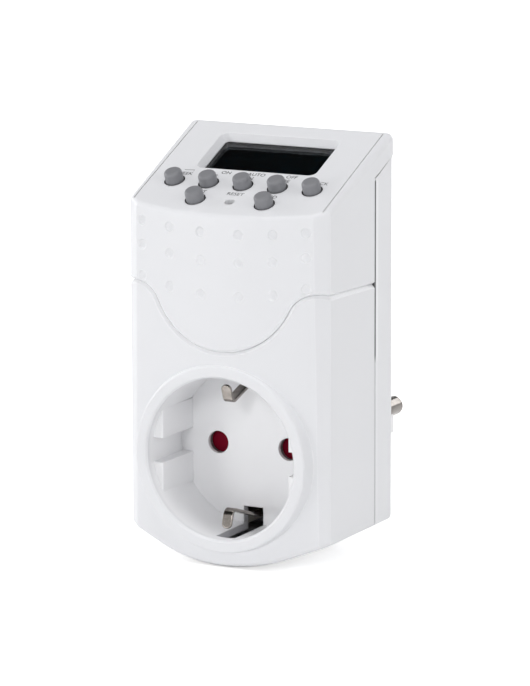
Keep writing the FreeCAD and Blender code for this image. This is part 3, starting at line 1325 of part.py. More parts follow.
def varistor():
    """Disc varistor standing on its rim beside the round capacitor."""
    x, z = filter_capacitor_place()
    start = Vector(x + FILTER_RADIUS + PART_GAP, at(POWER_BOARD_DEPTH - VARISTOR_RADIUS - TOUCH), z)
    disc = Part.makeCylinder(VARISTOR_RADIUS, VARISTOR_THICK, start, Vector(1, 0, 0))
    rims = [edge for edge in disc.Edges if edge.Closed]
    return disc.makeFillet(CASE_ROUND, rims)


def lying_part(x, z, radius, length):
    """Small round part lying along X on the power board."""
    start = Vector(x - length / 2, at(POWER_BOARD_DEPTH - radius), z)
    return Part.makeCylinder(radius, length, start, Vector(1, 0, 0))


def rectifier_diodes():
    """Four diodes in a row, two on each side of the board's lower screw."""
    inner = SMALL_HEAD_RADIUS + PART_GAP + DIODE_LENGTH / 2
    outer = inner + DIODE_LENGTH + PART_GAP
    z = POWER_BOARD_LOW + PAD_RADIUS
    return Part.makeCompound([lying_part(x, z, DIODE_RADIUS, DIODE_LENGTH)
                              for x in (-outer, -inner, inner, outer)])


def resistors():
    """Three resistors between the relay and the header."""
    left, top = relay_place()
    low = top + RESISTOR_RADIUS + PART_GAP
    step = 2 * RESISTOR_RADIUS + PART_GAP
    places = [(0, low), (0, low + step), (-RESISTOR_LENGTH - 2 * PART_GAP, low)]
    return Part.makeCompound([lying_part(x, z, RESISTOR_RADIUS, RESISTOR_LENGTH) for x, z in places])


def relay_transistor():
    """Small transistor with a flat face, standing off the power board."""
    left, top = relay_place()
    x = sum(film_capacitor_edges()) / 2
    z = top + PART_GAP + TRANSISTOR_RADIUS
    body = rod(x, z, POWER_BOARD_DEPTH - TRANSISTOR_HEIGHT, POWER_BOARD_DEPTH, TRANSISTOR_RADIUS)
    return body.cut(box(x - FAR, x + FAR, 0, FAR, z + TRANSISTOR_RADIUS / 2, FAR))


def link_header():
    """Row of pins that joins the power board to the display board."""
    slope = math.radians(SLOPE)
    half_pin = HEADER_PIN / 2
    depth = POWER_BOARD_DEPTH - HEADER_PITCH / 2
    rise = (depth + half_pin - CORNER_DEPTH) * math.tan(slope)
    board_z = SLOPE_START + rise - (BOARD_UNDER + TOUCH) / math.cos(slope)
    half = HEADER_PINS * HEADER_PITCH / 2
    low = POWER_BOARD_HIGH - HEADER_PITCH / 2
    block = box(-half, half, depth - HEADER_PITCH / 2, POWER_BOARD_DEPTH, low, low + HEADER_PITCH)
    pins = []
    for n in range(HEADER_PINS):
        x = (n + 0.5) * HEADER_PITCH - half
        pins.append(box(x - half_pin, x + half_pin, depth - half_pin, depth + half_pin,
                        low, board_z - 0.3))
    return fused([block] + pins)


BUTTON_NAMES = ("week", "hour", "minute", "mode", "clock", "timer", "random")


def all_parts():
    parts = {
        "socket_housing": socket_housing(),
        "control_cover": control_cover(),
        "rear_cover": rear_cover(),
        "contact_carrier": contact_carrier(),
        "carrier_screws": carrier_screws(),
        "housing_screws": housing_screws(),
        "child_shutter": child_shutter(),
        "shutter_spring": shutter_spring(),
        "live_plug_pin": plug_pin(-1),
        "neutral_plug_pin": plug_pin(1),
        "live_socket_contact": socket_contact(-1, CARRIER_BACK + OUTPUT_STRIP_THICK),
        "neutral_socket_contact": socket_contact(1, STRIP_DEPTH - TOUCH),
        "live_input_strip": live_input_strip(),
        "live_output_strip": live_output_strip(),
        "neutral_strip": neutral_strip(),
        "earth_strap": earth_strap(),
        "plug_earth_contacts": plug_earth_contacts(),
        "lower_earth_clip": lower_earth_clip(),
        "upper_earth_clip": upside_down(lower_earth_clip()),
        "keypad_mat": keypad_mat(),
        "reset_switch": reset_switch(),
        "reset_plunger": reset_plunger(),
        "display_lens": display_lens(),
        "lcd_frame": lcd_frame(),
        "lcd_panel": lcd_panel(),
        "zebra_strips": zebra_strips(),
        "display_board": display_board(),
        "display_board_screws": display_board_screws(),
        "controller_chip": controller_chip(),
        "crystal": crystal(),
        "backup_battery": backup_battery(),
        "power_board": power_board(),
        "power_board_screws": power_board_screws(),
        "relay": relay(),
        "film_capacitor": film_capacitor(),
        "filter_capacitor": filter_capacitor(),
        "varistor": varistor(),
        "rectifier_diodes": rectifier_diodes(),
        "resistors": resistors(),
        "relay_transistor": relay_transistor(),
        "link_header": link_header(),
    }
    for name, (x, up) in zip(BUTTON_NAMES, button_places()):
        parts[name + "_button"] = button(x, up)
        parts[name + "_contact_pill"] = contact_pill(x, up)
    return parts


if __name__ == "__main__":
    os.makedirs("parts", exist_ok=True)
    for name, shape in all_parts().items():
        shape.exportStep("parts/" + name + ".step")
        print(name, "valid" if shape.isValid() else "NOT VALID", len(shape.Solids), "solids")
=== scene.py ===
# Digital plug-in timer: finishes, printed labels, the rubber keypad and a plain white studio round
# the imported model. Everything is in metres in the model's own frame: +X right, +Y into the wall,
# +Z up, with the origin at the centre of the plug's end face.
import json
import math

import bmesh
import bpy
import numpy as np
from mathutils import Matrix, Vector


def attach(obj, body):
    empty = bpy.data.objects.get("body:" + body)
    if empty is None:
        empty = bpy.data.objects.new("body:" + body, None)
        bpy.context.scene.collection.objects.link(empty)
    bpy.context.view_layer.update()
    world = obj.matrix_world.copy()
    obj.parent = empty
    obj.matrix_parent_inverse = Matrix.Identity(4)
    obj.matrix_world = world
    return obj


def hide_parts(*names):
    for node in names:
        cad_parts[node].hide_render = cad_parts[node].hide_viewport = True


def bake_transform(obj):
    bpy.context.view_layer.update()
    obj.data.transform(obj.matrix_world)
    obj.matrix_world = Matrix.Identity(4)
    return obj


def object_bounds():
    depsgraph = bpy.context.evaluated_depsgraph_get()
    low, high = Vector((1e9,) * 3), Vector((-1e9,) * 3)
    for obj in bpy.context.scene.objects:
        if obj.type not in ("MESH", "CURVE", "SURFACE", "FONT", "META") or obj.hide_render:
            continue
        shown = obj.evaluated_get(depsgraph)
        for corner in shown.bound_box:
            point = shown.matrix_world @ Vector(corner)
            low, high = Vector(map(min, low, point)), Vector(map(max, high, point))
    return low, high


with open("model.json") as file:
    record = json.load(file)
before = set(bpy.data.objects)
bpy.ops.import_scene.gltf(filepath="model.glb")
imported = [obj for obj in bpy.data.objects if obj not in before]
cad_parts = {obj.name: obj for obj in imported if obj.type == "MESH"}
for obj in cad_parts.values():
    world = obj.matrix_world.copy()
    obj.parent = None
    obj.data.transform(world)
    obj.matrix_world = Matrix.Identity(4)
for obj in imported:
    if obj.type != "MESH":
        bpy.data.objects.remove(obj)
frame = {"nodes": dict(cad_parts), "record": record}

MM = 0.001
CAD_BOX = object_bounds()

# Camera, fitted to the photograph
CAMERA_PLACE = Vector((0.451065, -0.895326, 0.213631))
CAMERA_AZIMUTH = 27.603       # degrees to the right of the front
CAMERA_ELEVATION = 11.025
CAMERA_ROLL = -0.172
CAMERA_LENS = 217.4           # millimetres on a sensor 36 mm high
CAMERA_SENSOR = 36.0
CAMERA_NEAR = 0.05
CAMERA_FAR = 20.0

# Studio
FLOOR_GAP = 0.0002            # below the lowest point of the body
FLOOR_FRONT = 2.6
FLOOR_BACK = 1.9
FLOOR_HALF_WIDTH = 3.0
COVE_RADIUS = 0.6
COVE_POINTS = 25
FLOOR_COLUMNS = 3
WALL_HEIGHT = 0.7
WORLD_LEVEL = 0.38            # light that the surroundings give
CEILING_RISE = (0.10, 0.50)   # upward part of the direction where the ceiling begins and is full
CEILING_LEVELS = (0.9, 0.02)
FLOOR_WHITE = (0.86, 0.86, 0.86)
FLOOR_LIFT = 0.62             # added to the floor and the backdrop where the camera sees them
LAMP_AIM = (0.0, -0.03, 0.02)
LAMPS = (                     # name, place, width of the disc and watts
    ("key", (0.23, -1.40, 0.60), 0.36, 3.7),
    ("low_fill", (-0.50, -0.80, 0.06), 0.3, 1.45),
    ("right_fill", (1.2, -0.40, 0.35), 0.8, 3.3),
    ("left_fill", (-1.3, -0.1, 0.35), 0.8, 4.9),
    ("top_fill", (-0.1, -0.25, 1.4), 0.5, 7.0),
    ("back_fill", (0.3, 1.2, 0.5), 0.8, 5.0),
)

# Sloping control face, as in the solids
BODY_FRONT = -56.3 * MM       # plane of the socket ring
SLOPE = math.radians(24.1)
SLOPE_Y = BODY_FRONT + 5.8 * MM
SLOPE_Z = 60.6 * MM

# Zones of the body; a pair of places is where a mask begins and where it is full
CORNER_SIDE = (22.0 * MM, 24.0 * MM)
CORNER_FRONT = (BODY_FRONT + 8 * MM, BODY_FRONT + 7 * MM)
# the socket recess takes the lighter recess colour, painted light
RECESS_RADIUS = 19.5 * MM
RECESS_SIDE = (RECESS_RADIUS + 0.3 * MM, RECESS_RADIUS)
RECESS_FRONT = (BODY_FRONT + 0.6 * MM, BODY_FRONT + 2.0 * MM)
# the wavy groove and the reset hole are painted paler: painted light over their real shade
GROOVE_LOW = (22 * MM, 24 * MM)
GROOVE_HIGH = (52 * MM, 50 * MM)
GROOVE_BACK = (BODY_FRONT + 26 * MM, BODY_FRONT + 25 * MM)
RESET_HOLE = (0.0, 0.25, 0.0)   # on the control face, in millimetres
RESET_SIDE = (2.4 * MM, 2.0 * MM)   # from the hole's middle
# the seam takes painted shade in its gap and a painted highlight on the line behind it
SEAM_Y = BODY_FRONT + 28.4 * MM
SEAM_GAP = 0.38 * MM
SEAM_LIP = 0.32 * MM          # bevel on the rear cover's edge
SEAM_BLUR = 0.01 * MM
SEAM_GLEAM = 1.1 * MM         # width of the painted highlight line behind the bevel
GLEAM_BLUR = 0.3 * MM
SEAM_TOP = 64.6 * MM
SEAM_END = (SEAM_TOP, SEAM_TOP - 0.3 * MM)
SEAM_LOW = 20.5 * MM          # the gap's painted shade is stronger above this height
SEAM_STEP = (SEAM_LOW, SEAM_LOW + 2 * MM)
SEAM_TONES = (0.16, 0.85)     # strength below and above that step
PIN_OFFSET = 9.5 * MM
HOLE_RADIUS = 3.4 * MM        # of the painted shade masks round the pin holes
HOLE_SIDE = (HOLE_RADIUS, HOLE_RADIUS - 0.1 * MM)
HOLE_DEPTH = BODY_FRONT + 18.3 * MM   # where the painted shade in the pin holes begins
HOLE_STEP = (HOLE_DEPTH, HOLE_DEPTH + 0.5 * MM)
HOLE_PAINTED_SHADE = 0.9

# Edges and gaps: painted highlights on edges and painted shade in gaps
EDGE_RADIUS = 0.25 * MM
EDGE_TURN = (0.995, 0.90)     # cosine of the angle by which a soft edge turns the normal
EDGE_GAIN = 1.12              # an edge colour for the painted highlight, where none is given, is the colour times this
EDGE_RISE = 0.01              # plus this
GAP_REACH = 4 * MM
GAP_TONE = 0.04               # share of the colour that is left deep in gaps, as painted shade
# gap colour in the groove and the reset hole, a little above the plain colour: painted light
GROOVE_TONE = 1.05
OPEN_VIEW = (0.05, 0.26)      # share of the view that is free, for the two masks of the crevices
CLOSE_VIEW = (0.85, 0.65)
RAY_SAMPLES = 6

# Fine relief and gloss
GRAIN_HEIGHT = 0.01 * MM
CLOUD_SCALE = 45.0            # of the slow drift in moulded plastic
GLOSS_DRIFT = 0.12
LINE_HEIGHT = 0.004 * MM      # of the drawing lines in metal
LINE_SCALE = 9000.0
LINE_STRETCH = (1.0, 0.06, 1.0)
LINE_GLOSS = 0.14
DULL_SCALE = 420.0
DULL_SPREAD = (0.35, 0.65)

# Meshes
MERGE_DISTANCE = 0.001 * MM
SHARP_ANGLE = math.radians(35)
TURN_STEPS = 48

# Rubber keypad under the buttons, as in the solids, in millimetres on the control face
BUTTON_PITCH = 9.15
ROW_LOW = 0.25
ROW_HIGH = 7.5
BUTTONS = (
    ("week", -2, ROW_HIGH),
    ("hour", -1, ROW_HIGH),
    ("minute", 0, ROW_HIGH),
    ("mode", 1, ROW_HIGH),
    ("clock", 2, ROW_HIGH),
    ("timer", -1, ROW_LOW),
    ("random", 1, ROW_LOW),
)
DOME_DROP = 4.2               # drops are measured squarely below the control face
DOME_UNDER = 5.2
PILL_DROP = 6.0
SHEET_DROP = 6.6
BOARD_DROP = 7.575
DOME_BEND = 1.9               # height above the sheet of a point on each dome's axis
DOME_RADII = (2.0, 3.8)       # outside, at the top and at the sheet
DOME_POINTS = 9
HOLLOW_RADII = (1.7, 2.73)
NUB_RADIUS = 1.3
NUB_TOP = 4.9
SHEET_SIDE = 22.6
SHEET_LOW = -3.85
SHEET_HIGH = 11.6
POST_SIDE = 19.2              # inner edge and upper edge of the notches for the two lower posts
POST_TOP = 0.8
SWITCH_HALF = (3.3, 2.1)      # half width and half length of the opening round the reset switch

# Printed labels: text, middle across, baseline up the slope, in millimetres
LABEL_HEIGHT = 1.22           # of a capital letter
CAPITAL_SHARE = 0.73          # height of a capital letter in a font of size 1
LETTER_STEPS = 4
LABEL_LIFT = 0.012            # of the ink above the face
LABELS = (
    ("WEEK", -17.25, 10.2),
    ("HR", -9.3, 10.1),
    ("MIN", -0.2, 10.1),
    ("MODE", 8.55, 10.1),
    ("CLOCK", 18.2, 10.2),
    ("ON", -6.65, 11.75),
    ("AUTO", 1.35, 11.85),
    ("OFF", 10.65, 11.9),
    ("SET", -9.15, 3.05),
    ("RND", 9.15, 3.05),
    ("RESET", -0.1, 3.05),
)
MARK_WIDTH = 0.15
MARKS = (
    ("week_bracket", ((-17.9, 12.25), (-15.3, 12.45), (-15.35, 11.8))),
    ("hour_bracket", ((-12.9, 11.75), (-12.9, 12.5), (-11.8, 12.6))),
)


def on_slope(points):
    """Points drawn as (across, up the slope, out of it) in millimetres, put on the control face.

    Across stays X; up runs along (0, cos, sin) and out along (0, -sin, cos) of the slope's angle.
    """
    points = np.asarray(points, dtype=float) * MM
    placed = np.empty_like(points)
    placed[:, 0] = points[:, 0]
    placed[:, 1] = SLOPE_Y + points[:, 1] * math.cos(SLOPE) - points[:, 2] * math.sin(SLOPE)
    placed[:, 2] = SLOPE_Z + points[:, 1] * math.sin(SLOPE) + points[:, 2] * math.cos(SLOPE)
    return placed


# Mesh helpers

def new_piece(name, mesh, material):
    piece = bpy.data.objects.new(name, mesh)
    bpy.context.scene.collection.objects.link(piece)
    mesh.materials.clear()
    mesh.materials.append(material)
    return piece


def grid_mesh(name, points):
    """Mesh of a surface given as an array of points over two parameters, rows by columns."""
    rows, columns = points.shape[:2]
    index = np.arange(rows * columns).reshape(rows, columns)
    corners = (index[:-1, :-1], index[:-1, 1:], index[1:, 1:], index[1:, :-1])
    faces = np.stack(corners, axis=-1).reshape(-1, 4)
    mesh = bpy.data.meshes.new(name)
    mesh.from_pydata(points.reshape(-1, 3).tolist(), [], faces.tolist())
    mesh.polygons.foreach_set("use_smooth", np.ones(len(mesh.polygons), dtype=bool))
    mesh.update()
    return mesh


def turned_mesh(name, profile, middle):
    """Closed surface: a profile of (radius, drop) turned round an axis square to the control face.

    A point is (middle across + r cos t, middle up + r sin t, -drop) for t from 0 to a full turn.
    """
    radius, drop = np.asarray(profile, dtype=float).T
    turn = np.linspace(0, 2 * math.pi, TURN_STEPS + 1)
    points = np.empty((len(radius), len(turn), 3))
    points[..., 0] = middle[0] + radius[:, None] * np.cos(turn)
    points[..., 1] = middle[1] + radius[:, None] * np.sin(turn)
    points[..., 2] = -drop[:, None]
    mesh = grid_mesh(name, on_slope(points.reshape(-1, 3)).reshape(points.shape))
    close_mesh(mesh)
    return mesh


def close_mesh(mesh):
    """Seams and poles merged, faces turned outwards, and sharp corners kept sharp."""
    work = bmesh.new()
    work.from_mesh(mesh)
    bmesh.ops.remove_doubles(work, verts=work.verts, dist=MERGE_DISTANCE)
    bmesh.ops.recalc_face_normals(work, faces=work.faces)
    work.to_mesh(mesh)
    work.free()
    mesh.set_sharp_from_angle(angle=SHARP_ANGLE)


def curve_mesh(name, curve, shift):
    """Mesh of a flat curve drawn in millimetres, moved by shift and put on the control face."""
    holder = bpy.data.objects.new(name, curve)
    bpy.context.scene.collection.objects.link(holder)
    bpy.context.view_layer.update()
    evaluated = holder.evaluated_get(bpy.context.evaluated_depsgraph_get())
    mesh = bpy.data.meshes.new_from_object(evaluated)
    bpy.data.objects.remove(holder)
    flat = np.empty(len(mesh.vertices) * 3)
    mesh.vertices.foreach_get("co", flat)
    mesh.vertices.foreach_set("co", on_slope(flat.reshape(-1, 3) + np.array(shift)).ravel())
    mesh.update()
    return mesh


# Node helpers

FLOAT = "NodeSocketFloat"
COLOUR = "NodeSocketColor"
VECTOR = "NodeSocketVector"
MIX_SOCKETS = {"FLOAT": (2, 3, 0), "RGBA": (6, 7, 2)}   # both inputs and the output of a Mix node


def rgba(colour):
    return (*colour, 1.0)


def feed(tree, socket, source):
    """Joins the input to the source if that is a socket, or else sets the input to it."""
    if isinstance(source, bpy.types.NodeSocket):
        tree.links.new(source, socket)
    else:
        socket.default_value = source


def feed_all(tree, node, **inputs):
    """Feeds the node's inputs by name, with an underscore for each space."""
    for name, source in inputs.items():
        feed(tree, node.inputs[name.replace("_", " ")], source)


def add(tree, kind, settings=None, **inputs):
    """A node of that kind with its settings and inputs."""
    node = tree.nodes.new(kind)
    for key, value in (settings or {}).items():
        setattr(node, key, value)
    feed_all(tree, node, **inputs)
    return node


def operate(tree, kind, operation, *sources, **settings):
    """Outputs of a Math or Vector Math node fed by the sources in order."""
    node = add(tree, kind, {"operation": operation, **settings})
    for socket, source in zip(node.inputs, sources):
        feed(tree, socket, source)
    return node.outputs


def maths(tree, operation, *sources, **settings):
    return operate(tree, "ShaderNodeMath", operation, *sources, **settings)[0]


def vectors(tree, operation, *sources):
    return operate(tree, "ShaderNodeVectorMath", operation, *sources)


def scaled(tree, colour, factor):
    """Colour times a factor."""
    settings = {"operation": "SCALE"}
    return add(tree, "ShaderNodeVectorMath", settings, Vector=colour, Scale=factor).outputs[0]


def mix(tree, kind, factor, first, second):
    """Output of a Mix node of kind FLOAT or RGBA."""
    node = add(tree, "ShaderNodeMix", {"data_type": kind}, Factor=factor)
    first_socket, second_socket, result = MIX_SOCKETS[kind]
    feed(tree, node.inputs[first_socket], first)
    feed(tree, node.inputs[second_socket], second)
    return node.outputs[result]


def ramp(tree, value, limits, levels=(0.0, 1.0)):
    """The value carried from between the limits to between the levels, and held beyond them."""
    node = add(tree, "ShaderNodeMapRange", {"clamp": True}, Value=value, From_Min=limits[0],
               From_Max=limits[1], To_Min=levels[0], To_Max=levels[1])
    return node.outputs[0]


def object_place(tree):
    """Object coordinates as one vector, and as X, Y and Z."""
    place = add(tree, "ShaderNodeTexCoord").outputs["Object"]
    return place, *add(tree, "ShaderNodeSeparateXYZ", Vector=place).outputs


def group_node(tree, group, **inputs):
    """Outputs of a node that holds the shared group."""
    return add(tree, "ShaderNodeGroup", {"node_tree": group}, **inputs).outputs


def new_group(name, inputs, outputs):
    """Shader node group with the named sockets, the outputs of its start, and its end node."""
    group = bpy.data.node_groups.new(name, "ShaderNodeTree")
    for label, kind, value in inputs:
        socket = group.interface.new_socket(label, in_out="INPUT", socket_type=kind)
        socket.default_value = value
    for label, kind in outputs:
        group.interface.new_socket(label, in_out="OUTPUT", socket_type=kind)
    start = group.nodes.new("NodeGroupInput")
    return group, start.outputs, group.nodes.new("NodeGroupOutput")


# Shared node groups

def make_soft_edge_group():
    """Normal of the surface as if its edges had a small radius, and a mask of those edges.

    The radius grows from Radius to Front Radius on the front corners, far out and near the front.
    """
    group, start, end = new_group(
        "Soft Edges",
        [("Radius", FLOAT, EDGE_RADIUS), ("Front Radius", FLOAT, EDGE_RADIUS)],
        [("Normal", VECTOR), ("Edge", FLOAT)])
    _, x, y, _ = object_place(group)
    far_out = ramp(group, maths(group, "ABSOLUTE", x), CORNER_SIDE)
    corner = maths(group, "MULTIPLY", far_out, ramp(group, y, CORNER_FRONT))
    radius = mix(group, "FLOAT", corner, start["Radius"], start["Front Radius"])
    soft = add(group, "ShaderNodeBevel", {"samples": RAY_SAMPLES}, Radius=radius).outputs[0]
    true = add(group, "ShaderNodeNewGeometry").outputs["Normal"]
    turned = vectors(group, "DOT_PRODUCT", soft, true)["Value"]
    feed_all(group, end, Normal=soft, Edge=ramp(group, turned, EDGE_TURN))
    return group


def make_zone_group():
    """Masks by place on the shells of the body, where light and shade are painted.

    Inside is 1 on the walls and the floor of the socket recess, which take a lighter colour as
    painted light; Pale Gaps round the wavy groove between the two front shells and in the reset
    hole, whose gaps and edges are painted paler, painted light over their real shade; Dark in the
    upright gap before the rear cover and deep in the pin holes, painted shade; and Lip on the line
    behind that gap, a painted highlight.
    cover and deep in the pin holes, and Lip on the line behind that gap.
    """
    group, _, end = new_group(
        "Body Zones", [],
        [("Inside", FLOAT), ("Pale Gaps", FLOAT), ("Dark", FLOAT), ("Lip", FLOAT)])
    place, x, y, z = object_place(group)
    gap, lip = seam_masks(group, y, z)
    pale = maths(group, "MAXIMUM", groove_mask(group, y, z), reset_mask(group, place))
    dark = maths(group, "MAXIMUM", gap, pin_hole_mask(group, x, y, z))
    feed_all(group, end, Inside=recess_mask(group, place, y), Pale_Gaps=pale, Dark=dark, Lip=lip)
    return group


def recess_mask(group, place, y):
    """1 near the socket's axis and behind the face of its ring."""
    flat = vectors(group, "MULTIPLY", place, (1, 0, 1))["Vector"]
    near_axis = ramp(group, vectors(group, "LENGTH", flat)["Value"], RECESS_SIDE)
    return maths(group, "MULTIPLY", near_axis, ramp(group, y, RECESS_FRONT))


def groove_mask(group, y, z):
    """1 in the band of heights of the wavy groove, before the seam."""
    band = maths(group, "MULTIPLY", ramp(group, z, GROOVE_LOW), ramp(group, z, GROOVE_HIGH))
    return maths(group, "MULTIPLY", band, ramp(group, y, GROOVE_BACK))


def reset_mask(group, place):
    """1 in the reset hole."""
    middle = on_slope([RESET_HOLE])[0]
    return ramp(group, vectors(group, "DISTANCE", place, middle)["Value"], RESET_SIDE)


def seam_masks(group, y, z):
    """Painted shade in the gap before the rear cover with the cover's bevel, and a painted highlight
    line behind it.

    Both end at the seam's top and are weaker on its lower part.
    """
    height_tone = ramp(group, z, SEAM_STEP, SEAM_TONES)
    tone = maths(group, "MULTIPLY", ramp(group, z, SEAM_END), height_tone)
    gap = slab(group, y, SEAM_Y - SEAM_GAP - SEAM_BLUR, SEAM_Y + SEAM_LIP - SEAM_BLUR, SEAM_BLUR)
    gleam = slab(group, y, SEAM_Y + SEAM_LIP, SEAM_Y + SEAM_LIP + SEAM_GLEAM, GLEAM_BLUR)
    return maths(group, "MULTIPLY", gap, tone), maths(group, "MULTIPLY", gleam, tone)


def slab(group, y, front, back, blur):
    """1 between two depths, falling to 0 over the blur outside them."""
    after = ramp(group, y, (front - blur, front))
    until = ramp(group, y, (back + blur, back))
    return maths(group, "MULTIPLY", after, until)


def pin_hole_mask(group, x, y, z):
    """Painted shade round the axes of both pin holes, behind a depth."""
    beside = add(group, "ShaderNodeCombineXYZ", X=maths(group, "ABSOLUTE", x), Z=z).outputs[0]
    from_axis = vectors(group, "DISTANCE", beside, (PIN_OFFSET, 0, 0))["Value"]
    deep = ramp(group, y, HOLE_STEP, (0.0, HOLE_PAINTED_SHADE))
    return maths(group, "MULTIPLY", ramp(group, from_axis, HOLE_SIDE), deep)


def make_crevice_group():
    """Two masks of how much of the view within Reach is free of nearby surfaces.

    Open is 0 deep in gaps and holes, and Close is 1 in shallow grooves as well.
    """
    group, start, end = new_group("Crevices", [("Reach", FLOAT, GAP_REACH)],
                                  [("Open", FLOAT), ("Close", FLOAT)])
    free = add(group, "ShaderNodeAmbientOcclusion", {"samples": RAY_SAMPLES},
               Distance=start["Reach"]).outputs["AO"]
    feed_all(group, end, Open=ramp(group, free, OPEN_VIEW), Close=ramp(group, free, CLOSE_VIEW))
    return group


def make_moulding_group():
    """Colour, roughness and fine relief of a moulded plastic surface, with painted light and shade
    in the colour.

    Colour drifts slowly by Drift, takes a painted highlight on edges by Edge Light and falls to Gap
    Tone as painted shade where Open is 0; roughness drifts around Roughness; the relief is grain of
    size Grain, with Depth.
    """
    group, start, end = new_group(
        "Moulded Plastic",
        [("Colour", COLOUR, (0.8, 0.8, 0.8, 1)), ("Edge Colour", COLOUR, (0.9, 0.9, 0.9, 1)),
         ("Drift", FLOAT, 0.02), ("Edge", FLOAT, 0.0), ("Edge Light", FLOAT, 0.2),
         ("Roughness", FLOAT, 0.4), ("Grain", FLOAT, 5000.0), ("Depth", FLOAT, 0.1),
         ("Open", FLOAT, 1.0), ("Gap Tone", FLOAT, GAP_TONE), ("Normal", VECTOR, (0, 0, 0))],
        [("Colour", COLOUR), ("Roughness", FLOAT), ("Normal", VECTOR)])
    place = add(group, "ShaderNodeTexCoord").outputs["Object"]
    clouds = add(group, "ShaderNodeTexNoise", Vector=place, Scale=CLOUD_SCALE, Detail=3.0,
                 Roughness=0.5).outputs[0]
    grain = add(group, "ShaderNodeTexNoise", Vector=place, Scale=start["Grain"], Detail=2.0,
                Roughness=0.6).outputs[0]
    centred = maths(group, "SUBTRACT", clouds, 0.5)
    level = maths(group, "ADD", maths(group, "MULTIPLY", centred, start["Drift"]), 1.0)
    light = maths(group, "MULTIPLY", start["Edge"], start["Edge Light"])
    tinted = scaled(group, start["Colour"], level)
    # painted highlight on the edges
    edge_highlighted = mix(group, "RGBA", light, tinted, start["Edge Colour"])
    # painted shade deep in gaps
    tone = mix(group, "FLOAT", start["Open"], start["Gap Tone"], 1.0)
    gloss = maths(group, "MULTIPLY_ADD", centred, GLOSS_DRIFT, start["Roughness"])
    relief = add(group, "ShaderNodeBump", Height=grain, Strength=start["Depth"],
                 Distance=GRAIN_HEIGHT, Normal=start["Normal"]).outputs[0]
    feed_all(group, end, Colour=scaled(group, edge_highlighted, tone), Roughness=gloss, Normal=relief)
    return group


def make_drawn_metal_group():
    """Colour, roughness and relief of bright drawn metal.

    Noise stretched along Y gives the drawing lines, and slow noise clouds the colour towards
    Dull Colour by the amount of Dull.
    """
    group, start, end = new_group(
        "Drawn Metal",
        [("Colour", COLOUR, (0.7, 0.68, 0.64, 1)), ("Dull Colour", COLOUR, (0.4, 0.37, 0.33, 1)),
         ("Dull", FLOAT, 0.4), ("Roughness", FLOAT, 0.2), ("Depth", FLOAT, 0.1)],
        [("Colour", COLOUR), ("Roughness", FLOAT), ("Normal", VECTOR)])
    place = add(group, "ShaderNodeTexCoord").outputs["Object"]
    stretched = add(group, "ShaderNodeMapping", Vector=place, Scale=LINE_STRETCH).outputs[0]
    lines = add(group, "ShaderNodeTexNoise", Vector=stretched, Scale=LINE_SCALE,
                Detail=2.0).outputs[0]
    clouds = add(group, "ShaderNodeTexNoise", Vector=place, Scale=DULL_SCALE, Detail=3.0).outputs[0]
    amount = maths(group, "MULTIPLY", ramp(group, clouds, DULL_SPREAD), start["Dull"])
    mixed = mix(group, "RGBA", amount, start["Colour"], start["Dull Colour"])
    gloss = maths(group, "MULTIPLY_ADD", lines, LINE_GLOSS, start["Roughness"])
    relief = add(group, "ShaderNodeBump", Height=lines, Strength=start["Depth"],
                 Distance=LINE_HEIGHT).outputs[0]
    feed_all(group, end, Colour=mixed, Roughness=gloss, Normal=relief)
    return group


SOFT_EDGES = make_soft_edge_group()
CREVICES = make_crevice_group()
ZONES = make_zone_group()
MOULDED = make_moulding_group()
DRAWN = make_drawn_metal_group()


# Materials

def new_material(name):
    material = bpy.data.materials.new(name)
    material.use_nodes = True
    tree = material.node_tree
    tree.nodes.clear()
    return material, tree


def surface(tree, **inputs):
    """Principled BSDF joined to the material's output."""
    shader = add(tree, "ShaderNodeBsdfPrincipled", **inputs)
    add(tree, "ShaderNodeOutputMaterial", Surface=shader.outputs["BSDF"])


def plastic(name, colour, roughness=0.4, edge_colour=None, edge_light=0.3, drift=0.03, grain=5200.0,
            depth=0.10, radius=0.15, front_radius=None, recess_lit_colour=None, **shader_inputs):
    """Moulded plastic, rubber, lacquer or ink, with its own colour, gloss and grain, a painted
    highlight on its edges and painted shade deep in gaps.

    The radii of its edges are in millimetres. A recess lit colour brings in the zones of the body,
    with their painted light and painted shade.
    """
    material, tree = new_material(name)
    edges = group_node(tree, SOFT_EDGES, Radius=radius * MM,
                       Front_Radius=(front_radius or radius) * MM)
    crevices = group_node(tree, CREVICES)
    look = {"Colour": rgba(colour), "Open": crevices["Open"], "Edge": edges["Edge"]}
    if recess_lit_colour:
        look = zoned_look(tree, colour, recess_lit_colour, edges, crevices)
    lighter = edge_colour or tuple(min(1.0, c * EDGE_GAIN + EDGE_RISE) for c in colour)
    moulded = group_node(tree, MOULDED, Edge_Colour=rgba(lighter), Edge_Light=edge_light,
                         Drift=drift, Roughness=roughness, Grain=grain, Depth=depth,
                         Normal=edges["Normal"], **look)
    surface(tree, Base_Color=moulded["Colour"], Roughness=moulded["Roughness"],
            Normal=moulded["Normal"], **shader_inputs)
    return material


def zoned_look(tree, colour, recess_lit_colour, edges, crevices):
    """Inputs of the moulded plastic that the zones change: painted light and painted shade by place.
    """
    zones = group_node(tree, ZONES)
    groove = maths(tree, "MULTIPLY", crevices["Close"], zones["Pale Gaps"])
    paler = maths(tree, "MAXIMUM", zones["Lip"], groove)
    return {
        "Colour": mix(tree, "RGBA", zones["Inside"], rgba(colour), rgba(recess_lit_colour)),
        "Gap_Tone": mix(tree, "FLOAT", zones["Pale Gaps"], GAP_TONE, GROOVE_TONE),
        "Open": maths(tree, "SUBTRACT", crevices["Open"], zones["Dark"], use_clamp=True),
        "Edge": maths(tree, "MAXIMUM", edges["Edge"], paler),
    }


